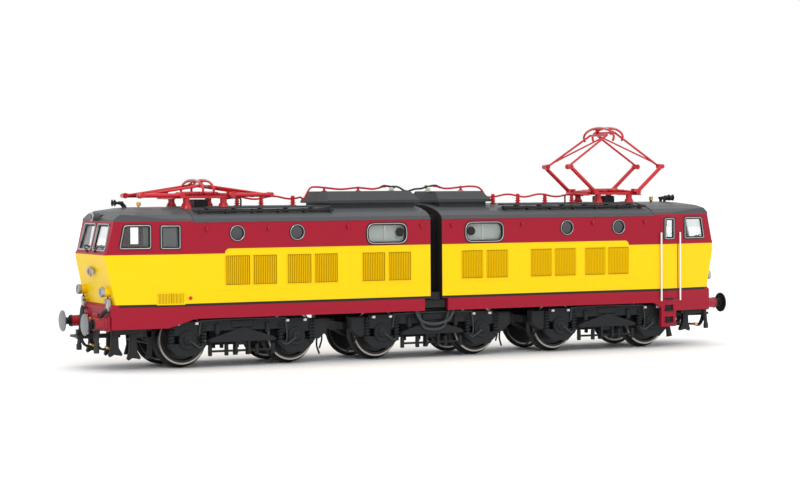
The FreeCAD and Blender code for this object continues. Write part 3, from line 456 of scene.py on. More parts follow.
def livery(colours):
    """Bands by height and place along the body: skirt, dark line, yellow, crimson and roof.
    The belt is a step higher along the machine room and drops in a quarter circle where the
    cab begins; the roof line lifts over the cab."""
    crimson, yellow, roof, line = colours

    def pattern(g):
        x, _, z = g.axes()
        along = g.math("ABSOLUTE", x)
        past = g.math("MAXIMUM", g.math("SUBTRACT", along, ROOM_END), 0.0)
        room = g.math("SUBTRACT", BELT_STEP ** 2, g.math("MULTIPLY", past, past))
        belt = g.math("ADD", CAB_BELT, g.math("POWER", g.math("MAXIMUM", room, 0.0), 0.5))
        roof_from = g.math("ADD", ROOF_EDGE,
                           g.math("MULTIPLY", g.above(along, CAB_ROOF_END), ROOF_LIFT))
        side = g.math("SUBTRACT", 1.0, g.above(along, BODY_END))
        shade = g.mix(g.above(z, SKIRT_TOP), crimson, g.mix(side, crimson, line))
        shade = g.mix(g.above(z, DARK_LINE_TOP), shade, yellow)
        shade = g.mix(g.above(z, belt), shade, crimson)
        shade = g.mix(g.above(z, roof_from), shade, roof)
        inner = g.math("SUBTRACT", 1.0, g.above(along, JOINT_EDGE, 0.00004))
        return g.mix(inner, shade, line)
    return pattern


def trim_shade(yellow):
    """White where a rail stands clear of the side, silver lamp fronts on yellow necks and
    black for the window frames."""
    def pattern(g):
        x, y, z = g.axes()
        along = g.math("ABSOLUTE", x)
        low = g.math("SUBTRACT", 1.0, g.above(z, LAMP_TOP))
        neck = g.math("MULTIPLY", low, g.above(along, LAMP_NECK))
        shade = g.mix(neck, (0.02, 0.02, 0.021, 1.0), yellow)
        front = g.math("MULTIPLY", low, g.above(along, LAMP_FRONT))
        shade = g.mix(front, shade, (0.42, 0.42, 0.42, 1.0))
        rail = g.above(stand_out(g, x, y), RAIL_SIDE)
        return g.mix(rail, shade, (0.78, 0.78, 0.76, 1.0))
    return pattern


def buffer_shade(g):
    """Ground steel on the face of the buffer plate, blackened behind it."""
    x, _, _ = g.axes()
    return g.mix(g.above(g.math("ABSOLUTE", x), BUFFER_FACE), (0.012, 0.012, 0.013, 1.0),
                 (0.22, 0.23, 0.25, 1.0))


def louvre_groove_painted_shade(yellow):
    """Yellow with painted shade in the pressed grooves, a darker yellow chosen by how far in from
    the side they lie.
    """
    def pattern(g):
        x, y, _ = g.axes()
        clear = g.above(stand_out(g, x, y), GROOVE_SIDE, 0.0001)
        # the darker yellow is painted shade at the bottom of each groove
        return g.mix(clear, (0.40, 0.24, 0.006, 1.0), yellow)
    return pattern


def wheel_finish(name, x):
    """Turned steel: bright tyre ring, blackened disc and fine turning marks about the axle."""
    made, surface, g = shader(name, 1.0)
    marks = g.node("ShaderNodeGroup", node_tree=GROUPS["rings"])
    g.feed(marks.inputs["Center X"], x * MM)
    g.feed(marks.inputs["Center Z"], AXLE_HEIGHT * MM)
    far = marks.outputs["Distance"]
    within = g.math("SUBTRACT", 1.0, g.above(far, TYRE_OUTER))
    tyre = g.math("MULTIPLY", g.above(far, TYRE_INNER), within)
    dark = g.mix(g.noise(700.0), (0.03, 0.029, 0.03, 1), (0.055, 0.052, 0.052, 1))
    g.feed(surface.inputs["Base Color"], g.mix(tyre, dark, (0.36, 0.34, 0.31, 1)))
    g.feed(surface.inputs["Roughness"], g.math("SUBTRACT", 0.5, g.math("MULTIPLY", tyre, 0.22)))
    lump = g.node("ShaderNodeBump")
    lump.inputs["Strength"].default_value = 0.15
    lump.inputs["Distance"].default_value = 0.00003
    g.feed(lump.inputs["Height"], marks.outputs["Rings"])
    g.feed(surface.inputs["Normal"], lump.outputs[0])
    return made


def clear_finish(name, tint, rough=0.0):
    """Clear moulded glazing with a faint haze."""
    made, surface, g = shader(name, 0.0, 0.0, 1.0, 1.49)
    surface.inputs["Base Color"].default_value = tuple(tint) + (1.0,)
    haze = g.math("MULTIPLY", g.noise(500.0), 0.006)
    g.feed(surface.inputs["Roughness"], g.math("ADD", haze, rough))
    return made


MATERIALS = {}


def build_materials(look):
    """Every finish by a maker's name."""
    crimson = tuple(look.crimson) + (1.0,)
    yellow = tuple(look.yellow) + (1.0,)
    roof = tuple(look.roof_grey) + (1.0,)
    line = (0.022, 0.018, 0.017, 1.0)
    m = MATERIALS
    m["livery"] = finished("livery_enamel", None, 0.42, coat=0.08, grain=0.02, dust=0.02,
                           bump=0.02, specular=0.15, pattern=livery((crimson, yellow, roof, line)))
    # louvre yellow: painted shade darkens the pressed grooves
    m["yellow"] = finished("louvre_enamel_painted_groove_shade", None, 0.42, coat=0.08, grain=0.02, dust=0.02,
                           specular=0.15, pattern=louvre_groove_painted_shade(yellow))
    # dark yellow for the plate behind the cab grille slats: painted shade between them
    m["groove"] = finished("grille_slot_painted_shade", (0.22, 0.13, 0.004), 0.5, dust=0.03)
    m["crimson"] = finished("crimson_enamel", look.crimson, 0.36, coat=0.25, grain=0.03)
    m["roof"] = finished("roof_satin_grey", look.roof_grey, 0.5, dust=0.05)
    m["roof_dark"] = finished("roof_box_grey", (0.034, 0.037, 0.04), 0.5, dust=0.06)
    m["black"] = finished("satin_black", (0.012, 0.012, 0.013), 0.45, dust=0.06)
    m["rubber"] = finished("black_rubber", (0.012, 0.012, 0.012), 0.7, bump=0.1, dust=0.1)
    m["charcoal"] = finished("underframe_charcoal", look.underframe, 0.55, grain=0.08,
                             dust=0.12, bump=0.12)
    m["casting"] = finished("blackened_casting", (0.013, 0.014, 0.016), 0.6, metallic=0.2,
                            grain=0.1, bump=0.2, scale=1500.0)
    m["signal_red"] = finished("pantograph_red", look.pantograph_red, 0.33, coat=0.4,
                               grain=0.03, dust=0.02)
    m["silver"] = finished("silver_trim", (0.42, 0.43, 0.44), 0.36, metallic=0.85, dust=0.02)
    m["trim"] = finished("rails_and_frames", None, 0.38, metallic=0.35, dust=0.02,
                         pattern=trim_shade(yellow))
    m["white"] = finished("white_rail", (0.8, 0.8, 0.78), 0.4, dust=0.03)
    m["brass"] = finished("turned_brass", (0.72, 0.47, 0.14), 0.3, metallic=1.0, dust=0.03)
    m["steel"] = finished("plain_steel", (0.5, 0.5, 0.5), 0.34, metallic=1.0, dust=0.03)
    m["buffer_face"] = finished("buffer_grey", None, 0.42, metallic=0.5, pattern=buffer_shade)
    m["cab"] = finished("cab_moulding", (0.62, 0.66, 0.66), 0.6, bump=0.05)
    m["pale_panel"] = finished("pale_inner_panel", (0.58, 0.64, 0.60), 0.5)
    m["board"] = finished("board_lacquer", (0.02, 0.14, 0.05), 0.35)
    m["copper"] = finished("armature_copper", (0.6, 0.3, 0.14), 0.4, metallic=0.9)
    m["cream"] = finished("gear_plastic", (0.75, 0.72, 0.6), 0.4)
    m["grey_hose"] = finished("grey_hose", (0.04, 0.044, 0.048), 0.5)
    m["dark_hose"] = finished("dark_hose", (0.035, 0.035, 0.035), 0.6)
    # glossy near-black disc for the portholes: painted shade of the room behind the glass
    m["dark_pane"] = finished("dark_pane", (0.02, 0.022, 0.024), 0.08, coat=1.0, dust=0.01)
    m["glass"] = clear_finish("clear_glazing", (0.93, 0.95, 0.95))
    m["lens"] = clear_finish("lamp_lens", (0.95, 0.93, 0.88), 0.1)


# ------------------------------------------------------------------ body details

def side_y(x, lift=0.0):
    """Half width of the body at a place along it: full width, then a straight taper."""
    away = np.maximum(np.abs(np.asarray(x, float)) - TAPER_START, 0)
    return BODY_HALF_WIDTH - CAB_TAPER * away + lift


def nose_x(z, lift=0.0):
    """Cab front at a height: undercut below the belt and raked above it."""
    return -(np.interp(z, [17.6, 18.4, 31.8, 32.2, 32.9, 40.8], [97.8, 96.7, 99.7, 99.7, 99.0,
                                                                97.1]) + lift)


SIDE_LOOPS = {
    "oval": [(-22.5, 33.7), (-22.5, 39.9), (-9.4, 39.9), (-9.4, 33.7)],
    "cab": [(-87.0, 33.5), (-87.0, 40.3), (-94.5, 40.3), (-95.8, 33.5)],
    "fixed": [(-79.0, 33.4), (-79.0, 40.1), (-84.6, 40.1), (-84.6, 33.4)],
    "door": [(-78.7, 33.4), (-78.7, 40.1), (-82.9, 40.1), (-82.9, 33.4)],
}
SCREEN_LOOP = [(0.8, 33.1), (11.9, 33.1), (10.8, 40.5), (0.8, 40.5)]


def side_loop(name, side, radius):
    """A window's edge laid on the body side, with its inward and outward directions."""
    loop = rounded_loop(SIDE_LOOPS[name], radius)
    ahead = np.roll(loop, -1, 0) - np.roll(loop, 1, 0)
    ahead /= np.linalg.norm(ahead, axis=1)[:, None]
    inward = np.stack([ahead[:, 1], -ahead[:, 0]], 1)
    centre = loop.mean(0)
    flip = np.sign(((centre - loop) * inward).sum(1))
    inward *= flip[:, None]
    path = np.stack([loop[:, 0], side * side_y(loop[:, 0]), loop[:, 1]], 1)
    inn = np.stack([inward[:, 0], np.zeros(len(loop)), inward[:, 1]], 1)
    out = np.tile([0.0, side, 0.0], (len(loop), 1))
    return path, inn, out


METAL = [(0.14, -0.1), (0.15, 0.24), (0.26, 0.3), (0.37, 0.24), (0.38, -0.1)]
RUBBER = [(-0.16, -0.2), (-0.13, 0.12), (0.05, 0.2), (0.3, 0.2), (0.7, 0.16), (0.75, -0.3)]


def surrounds(turned):
    """Silver frames with black rubber seals inside them, round every window."""
    b = Builder(turned)
    sides = [("oval", 1, 2.6), ("oval", -1, 2.6), ("cab", 1, 0.9), ("cab", -1, 0.9),
             ("fixed", -1, 0.8), ("door", 1, 0.8)]
    for name, side, radius in sides:
        path, inn, out = side_loop(name, side, radius)
        b.grid(framed(path, inn, out, RUBBER), "rubber", closed=True)
        b.grid(framed(path, inn, out, METAL), "silver", closed=True)
    for x in PORTHOLES:
        for side in (1, -1):
            a = np.linspace(0, 2 * np.pi, 32, endpoint=False)
            inn = np.stack([-np.cos(a), 0 * a, -np.sin(a)], 1)
            centre = np.array([x, side * BODY_HALF_WIDTH, PORTHOLE_HEIGHT])
            path = centre - PORTHOLE_RADIUS * inn
            out = np.tile([0.0, side, 0.0], (32, 1))
            b.grid(framed(path, inn, out, [(-0.2, -0.2), (-0.16, 0.14), (0.1, 0.26),
                                           (0.45, 0.2), (0.5, -0.3)]), "rubber", closed=True)
            b.grid(framed(path, inn, out, [(0.02, 0.0), (0.03, 0.28), (0.12, 0.33),
                                           (0.2, 0.28), (0.21, 0.0)]), "silver", closed=True)
            # a glossy dark disc over each porthole glass: painted shade for the dark room behind
            # it
            pane = np.array([(0.0, -0.02), (1.4, -0.01), (1.95, 0.0), (1.95, -0.2), (0.0, -0.2)])
            b.grid(lathe(pane * [1, side], (x, side * 17.05, PORTHOLE_HEIGHT), "y", 32),
                   "dark_pane")
    for side in (1, -1):
        loop = rounded_loop(SCREEN_LOOP, 0.9)
        centre = loop.mean(0)
        inward = centre - loop
        inward /= np.linalg.norm(inward, axis=1)[:, None]
        path = np.stack([nose_x(loop[:, 1]), side * loop[:, 0], loop[:, 1]], 1)
        inn = np.stack([0 * loop[:, 0], side * inward[:, 0], inward[:, 1]], 1)
        out = np.tile([-1.0, 0.0, 0.2], (len(loop), 1))
        b.grid(framed(path, inn, out, [(-0.1, -0.2), (-0.1, 0.2), (0.25, 0.26), (0.5, 0.18),
                                       (0.5, -0.2)]), "silver", closed=True)
        b.grid(side_block(side, (-22.9, -9.0), (15.2, 15.6), (33.0, 40.4), 0.1), "pale_panel")
        b.grid(side_block(side, (-16.3, -15.7), (15.6, 15.9), (33.4, 40.0), 0.1), "steel")
        b.grid(lathe([(0.0, -0.08), (1.3, -0.08), (1.3, 0.08), (0.0, 0.08)],
                     (-11.7, side * 16.96, 37.1), "y", 28), "rubber")
    return b


def louvre_sheet(x0, x1, z0, z1, y, count):
    """Pressed louvres: depth = 0.05 + 0.55 sin(pi phase / 0.62) ^ 0.6 in the first 0.62 of each
    slot and 0.05 in the rest, fading to 0.05 at the panel's top and bottom edges."""
    steps = 10
    u = np.linspace(0, 1, count * steps + 1)
    v = np.array([0, 0.02, 0.05, 0.09, 0.3, 0.5, 0.7, 0.91, 0.95, 0.98, 1.0])
    phase = (u * count) % 1.0
    bulge = np.where(phase < 0.62, np.sin(np.pi * phase / 0.62) ** 0.6, 0.0) * 0.55
    ends = np.clip(np.minimum(v, 1 - v) / 0.07, 0, 1) ** 0.5
    depth = 0.05 + bulge[:, None] * ends[None, :]
    xs = x0 + (x1 - x0) * u
    out = np.zeros((len(u), len(v), 3))
    out[:, :, 0] = xs[:, None]
    out[:, :, 1] = np.sign(y) * (abs(y) + depth)
    out[:, :, 2] = z0 + (z1 - z0) * v[None, :]
    return out


GRILLES = [(-66.1, -58.3), (-57.8, -50.2), (-47.4, -39.6), (-39.0, -31.4), (-24.1, -16.4),
           (-15.7, -8.1)]


def louvres(turned, slots):
    """Six louvred panels on each side in thin frames, and the two slatted grilles of the cab."""
    b = Builder(turned)
    for x0, x1 in GRILLES:
        for side in (1, -1):
            back = side * (BODY_HALF_WIDTH - 0.45)
            pressed = louvre_sheet(x0 + 0.25, x1 - 0.25, 23.2, 31.4, back, slots)
            # the pressed sheet takes painted shade in its grooves from the yellow finish
            b.sheet(pressed, (0, -0.25 * side, 0), "yellow")
            rim = [(-0.02, -0.4), (-0.02, 0.1), (0.1, 0.16), (0.26, 0.1), (0.26, -0.4)]
            loop = rounded_loop([(x0, 23.0), (x1, 23.0), (x1, 31.6), (x0, 31.6)], 0.3)
            centre = loop.mean(0)
            toward = centre - loop
            inward = np.stack([np.sign(toward[:, 0]), 0 * toward[:, 0],
                               np.sign(toward[:, 1])], 1) * 0.8
            path = np.stack([loop[:, 0], np.full(len(loop), side * BODY_HALF_WIDTH),
                             loop[:, 1]], 1)
            out = np.tile([0.0, side, 0.0], (len(loop), 1))
            b.grid(framed(path, inward, out, rim), "yellow", closed=True)
    low, high = 18.4, 21.3
    for x0, x1 in ((-85.4, -82.0), (-81.6, -78.2)):
        ends = np.array([x0, x1])
        plate = np.zeros((2, 2, 3))
        plate[:, :, 0] = ends[:, None]
        plate[:, :, 1] = -(side_y(ends, 0.06))[:, None]
        plate[:, :, 2] = np.array([low, high])[None, :]
        # the plate behind the slats is painted shade, a darker yellow
        b.sheet(plate, (0, 0.5, 0), "groove")
        for x in np.linspace(x0 + 0.12, x1 - 0.12, 9):
            out = side_y(x)
            b.grid(block((x - 0.12, -out - 0.3, low), (x + 0.12, -out + 0.2, high), 0.04),
                   "yellow")
    for z in (low - 0.1, high + 0.1):
        b.grid(tube([(-85.7, -side_y(-85.7, 0.08), z), (-80.0, -side_y(-80.0, 0.08), z),
                     (-77.9, -side_y(-77.9, 0.08), z)], 0.2, 8), "yellow")
    return b


def cab_front(turned):
    """Emblem plate and disc, lamp rims and lenses, wipers and the top lamp of one cab."""
    b = Builder(turned)
    face = nose_x(27.1)
    b.grid(slab(rounded_loop([(-3.1, 26.5), (3.1, 26.5), (3.1, 28.0), (-3.1, 28.0)], 0.7),
                face - 1.0, face - 0.7, "yz", 0.1), "silver")
    for y in (-1.6, 1.6):
        b.grid(tube([(face - 0.8, y, 27.25), (face + 0.4, y, 27.25)], 0.3, 10), "silver")
    b.grid(lathe([(0, -0.3), (1.2, -0.28), (1.35, -0.15), (1.35, 0.3), (0, 0.3)],
                 (face - 1.0, 0, 27.2), "x", 40), "silver")
    b.grid(lathe([(0, -0.4), (0.85, -0.38), (0.92, -0.25), (0.92, 0.0), (0, 0.0)],
                 (face - 1.0, 0, 27.2), "x", 36), "crimson")
    for side in (1, -1):
        for z, radius, front in ((21.9, 1.35, 99.95), (19.3, 0.6, 98.65)):
            y = side * (10.2 if radius > 1 else 10.0)
            b.grid(lathe([(radius - 0.1, 1.0), (radius + 0.08, 0.9), (radius + 0.12, 0.1),
                          (radius, -0.05), (radius - 0.2, 0.0), (radius - 0.4, 0.3),
                          (radius - 0.42, 0.9)], (-front, y, z), "x", 32), "silver", closed=True)
            b.grid(lathe([(0.0, 0.6), (radius - 0.38, 0.6), (radius - 0.38, 0.35),
                          (radius - 0.5, 0.2), (radius * 0.4, 0.06), (0.0, 0.0)],
                         (-front, y, z), "x", 28), "lens" if radius > 1 else "black")
        low = np.array([nose_x(32.9, 0.35), side * 3.4, 32.9])
        high = np.array([nose_x(35.2, 0.3), side * 6.6, 34.4])
        middle = (low + high) / 2 + [-0.25, 0, 0]
        b.grid(tube(smooth_path([low, middle, high], 6), 0.16, 8), "black")
        b.grid(tube(smooth_path([high - [0, side * 2.2, 0.2], high + [-0.05, 0, 0],
                                 high + [0, side * 2.0, 0.3]], 6), 0.15, 8), "black")
        b.grid(lathe([(0.45, -0.3), (0.45, 0.3), (0.3, 0.45), (0, 0.5)],
                     low + [0.2, 0, 0], "x", 14), "black")
    b.grid(lathe([(1.02, 2.4), (1.2, 2.2), (1.2, 0.3), (1.02, 0.25)], TOP_LAMP, "x", 32),
           "roof", closed=True)
    b.grid(lathe([(1.02, 0.35), (1.22, 0.35), (1.25, 0.05), (1.1, -0.05), (0.9, -0.05),
                  (0.85, 0.3)], TOP_LAMP, "x", 32), "silver", closed=True)
    b.grid(lathe([(0, 0.2), (0.88, 0.2), (0.85, 0.0), (0.5, -0.1), (0, -0.12)],
                 TOP_LAMP, "x", 28), "black")
    return b


def doors_and_lines(turned):
    """Door edge bead, steps, lifting hooks, rain strips, a round cap and panel seams."""
    b = Builder(turned)
    bead = [(-0.12, -0.1), (-0.1, 0.1), (0.0, 0.15), (0.1, 0.1), (0.12, -0.1)]
    loop = rounded_loop([(-77.7, 14.6), (-77.7, 40.6), (-84.2, 40.6), (-84.2, 14.6)], 0.7)
    path = np.stack([loop[:, 0], side_y(loop[:, 0]), loop[:, 1]], 1)
    toward = np.sign(loop.mean(0) - loop)
    inn = np.stack([toward[:, 0], 0 * toward[:, 0], toward[:, 1]], 1)
    out = np.tile([0.0, 1.0, 0.0], (len(loop), 1))
    b.grid(framed(path, inn, out, bead), "crimson", closed=True)
    b.grid(block((-82.6, 16.0, 7.2), (-78.6, 16.2, 14.0), 0.05), "black")
    for z in (8.0, 11.6, 15.2):
        b.grid(block((-82.4, 16.0, z - 0.2), (-78.8, 17.6, z + 0.15), 0.15), "black")
    for x in (-71.5, -53.0, -28.5, -5.0):
        for side in (1, -1):
            hook = smooth_path([(x, side * 17.1, 39.4), (x, side * 17.65, 39.2),
                                (x, side * 17.7, 38.6), (x, side * 17.15, 38.2)], 6)
            b.grid(tube(hook, 0.2, 8), "crimson")
    for side in (1, -1):
        gutter = np.array([(-75.0 + 73.2 * t, side * 17.25, 40.85) for t in
                           np.linspace(0, 1, 12)])
        b.grid(tube(gutter, 0.16, 8), "roof")
    b.grid(lathe([(0.0, 0.35), (0.35, 0.3), (0.5, 0.1), (0.5, -0.3)], (-76.3, -17.2, 19.9), "y",
                 20), "signal_red")
    panels = [(-68.6, -61.4, 18.9, 21.9), (-60.0, -53.4, 18.9, 21.9),
              (-50.6, -44.4, 18.9, 21.9), (-19.4, -12.6, 18.9, 21.9),
              (-27.6, -3.6, 22.4, 32.6)]
    for side in (1, -1):
        for x0, x1, z0, z1 in panels:
            loop = rounded_loop([(x0, z0), (x1, z0), (x1, z1), (x0, z1)], 0.7)
            path = np.stack([loop[:, 0], np.full(len(loop), side * 17.19), loop[:, 1]], 1)
            b.grid(tube(path, 0.075, 6, closed=True), "yellow", closed=True)
    return b


# ------------------------------------------------------------------ roof

def roof_top(y):
    """Height of the roof over a place across it."""
    return np.interp(np.abs(y), [0, 6, 11, 14.6, 16.6, 17.2], [45, 44.7, 43.9, 42.9, 41.8, 40.8])


def post(b, x, y, low, high, radius, kind):
    """A ribbed insulator: three turned sheds on a stem."""
    tall = high - low
    prof = [(radius, 0), (radius, 0.12 * tall)]
    for i in range(3):
        level = (0.2 + 0.22 * i) * tall
        wide = radius * (0.95 - 0.13 * i)
        prof += [(radius * 0.5, level), (wide, level + 0.05 * tall), (wide, level + 0.1 * tall),
                 (radius * 0.5, level + 0.15 * tall)]
    prof += [(radius * 0.5, 0.9 * tall), (radius * 0.55, tall), (0.01, tall)]
    b.grid(lathe(prof, (x, y, low), "z", 18), kind)


def roof_wires(turned, x0, x1, posts, rise, feet):
    """A bent high-voltage wire on ribbed posts: height = 47.3 + 0.4 sin(0.55 x) along the roof,
    then a smooth curve up and over the equipment box to a pale insulator."""
    b = Builder(turned)
    x = np.linspace(x0, x1, 80)
    low = np.stack([x, WIRE_SIDE + 0.2 * np.sin(x * 0.31), 47.3 + 0.4 * np.sin(x * 0.55)], 1)
    over = smooth_path([low[-1]] + [(a, WIRE_SIDE, c) for a, c in rise], 8)
    b.grid(tube(np.vstack([low, over[1:]]), 0.29, 10), "signal_red")
    for px in posts:
        post(b, px, WIRE_SIDE, 44.3, 47.2, 1.05, "signal_red")
        b.grid(lathe([(0.01, -0.5), (0.45, -0.45), (0.5, 0.4), (0.01, 0.5)],
                     (px, WIRE_SIDE, 47.4), "x", 14), "signal_red")
    for px in feet:
        b.grid(lathe([(0.75, 0), (0.8, 0.2), (0.35, 0.45), (0.35, 0.9), (0.6, 1.0),
                      (0.55, 1.4), (0.01, 1.5)], (px, WIRE_SIDE, 48.9), "z", 14), "signal_red")
    post(b, -4.4, WIRE_SIDE, 48.8, 50.1, 1.1, "cream")
    hook = smooth_path([(-8.4, WIRE_SIDE, 49.9), (-7.0, WIRE_SIDE, 50.5),
                        (-5.6, WIRE_SIDE, 50.4), (-4.4, WIRE_SIDE, 50.2),
                        (-3.6, WIRE_SIDE, 50.1)], 5)
    b.grid(tube(hook, 0.3, 10), "black")
    return b


def roof_fittings(turned, walk_from, walk_to):
    """Side conduits with clips, a cross seam, a short cable and a roof box of one half."""
    b = Builder(turned)
    for side in (1, -1):
        for offset, size in ((14.3, 0.28), (13.2, 0.2)):
            x = np.linspace(walk_from, walk_to, 60)
            path = np.stack([x, np.full(60, side * offset), np.full(60, roof_top(offset) + 0.75)
                             + 0.04 * np.sin(x * 0.9)], 1)
            b.grid(tube(path, size, 8), "black")
        for x in np.arange(walk_from + 2, walk_to, 7.9):
            b.grid(side_block(side, (x - 0.35, x + 0.35), (13.0, 14.6),
                              (roof_top(14.6) - 0.2, roof_top(13.0) + 0.95), 0.1), "black")
    y = np.linspace(-16.9, 16.9, 41)
    seam = np.stack([np.full(41, -75.0), y, roof_top(y) + 0.02], 1)
    b.grid(tube(seam, 0.17, 8), "roof_dark")
    cable = smooth_path([(-60.5, -2.6, 47.0), (-57.5, -2.8, 47.4), (-55.6, -3.0, 47.2),
                         (-55.4, -3.0, 45.6), (-55.5, -3.0, 44.5)], 6)
    b.grid(tube(cable, 0.26, 8), "black")
    b.grid(block((-69.6, -3.4, 44.3), (-65.4, 3.4, 47.0), 0.3), "black")
    return b


def horns(turned):
    """Two flared horns and a small whistle on stalks."""
    b = Builder(turned)
    for y in (-1.1, 1.1):
        b.grid(tube(smooth_path([(-88.9, y, 43.4), (-89.2, y, 44.8), (-89.9, y, 45.8),
                                 (-91.0, y, 46.2)], 6), 0.34, 10), "black")
        b.grid(lathe([(0.0, 0.5), (0.45, 0.4), (0.5, -0.2), (0.3, -0.4), (0.32, -1.2),
                      (0.5, -1.7), (0.95, -2.0), (1.0, -2.1), (0.85, -2.05), (0.3, -1.5),
                      (0.0, -1.4)], (-90.4, y, 46.2), "x", 20), "black")
    b.grid(lathe([(0.5, 0), (0.5, 0.5), (0.3, 0.6), (0.3, 1.4), (0.62, 1.5), (0.66, 2.3),
                  (0.5, 2.5), (0.0, 2.6)], (-85.1, 0, 43.9), "z", 18), "brass")
    return b


def panto_fittings(turned):
    """Insulator feet, drive rods, coils and cross bars of one pantograph base."""
    b = Builder(turned)
    x = -PANTO_CENTRE
    for end in (1, -1):
        for side in (1, -1):
            b.grid(lathe([(1.9, 0.0), (1.8, 0.9), (1.2, 2.4), (0.95, 2.7), (0.95, 3.8)],
                         (x + end * 5.6, side * 6.0, 43.4), "z", 20), "signal_red")
            b.grid(tube([(x + end * 0.4, side * 2.0, 48.5), (x + end * 7.6, side * 2.0, 48.3)],
                        0.42, 10), "signal_red")
            start = x + (0.6 if end > 0 else -4.1)
            b.grid(lathe([(0.3, 0.0), (0.8, 0.1), (0.8, 3.4), (0.3, 3.5)],
                         (start, side * 2.0, 48.45), "x", 16), "signal_red", closed=True)
        turns = np.linspace(0, 2 * np.pi * 12, 200)
        coil = np.stack([x + end * (1.2 + 4.6 * turns / turns[-1]), 3.2 + 0.5 * np.cos(turns),
                         48.3 + 0.5 * np.sin(turns)], 1)
        b.grid(tube(coil, 0.13, 6), "signal_red")
        coil[:, 1] *= -1
        b.grid(tube(coil, 0.13, 6), "signal_red")
        b.grid(block((x + end * 9.4 - 0.5, -6.6, 47.1), (x + end * 9.4 + 0.5, 6.6, 47.5), 0.12),
               "signal_red")
    return b


def panto_head(x, top, pin):
    """Two arched contact strips with down-turned ends, their links, springs and pins.
    Each strip is an ellipse arc: across = 8.9 sin t, height = apex - 2.9 (1 - cos t)."""
    b = Builder()
    t = np.linspace(-1.95, 1.95, 50)
    apex = top + 1.5
    across = HEAD_ARCH_HALF * np.sin(t)
    height = apex - HEAD_ARCH_DROP * (1 - np.cos(t))
    wear = np.abs(t) < 0.75
    for along in (-1.6, 1.6):
        arch = np.stack([np.full(50, x + along), across, height], 1)
        b.grid(tube(arch, 0.36, 10), "signal_red")
        b.grid(tube(arch[wear] + [0, 0, 0.12], 0.32, 10), "steel")
    arm = 4.2
    rest = apex - HEAD_ARCH_DROP * (1 - math.cos(math.asin(arm / HEAD_ARCH_HALF)))
    for side in (1, -1):
        y = side * arm
        b.grid(tube([(x - 1.6, y, rest), (x + 1.6, y, rest)], 0.26, 10), "signal_red")
        b.grid(tube([(x, y, rest), (pin, y, top + 0.2)], 0.28, 10), "signal_red")
        b.grid(lathe([(0.42, -0.5), (0.7, -0.45), (0.7, 0.45), (0.42, 0.5)], (pin, y, top),
                     "y", 20), "signal_red", closed=True)
        turns = np.linspace(0, 2 * np.pi * 6, 90)
        coil = np.stack([x + 0.3 * np.cos(turns), side * (1.6 + 1.9 * turns / turns[-1]),
                         rest + 0.3 * np.sin(turns)], 1)
        b.grid(tube(coil, 0.09, 6), "signal_red")
    return b


# ------------------------------------------------------------------ ends

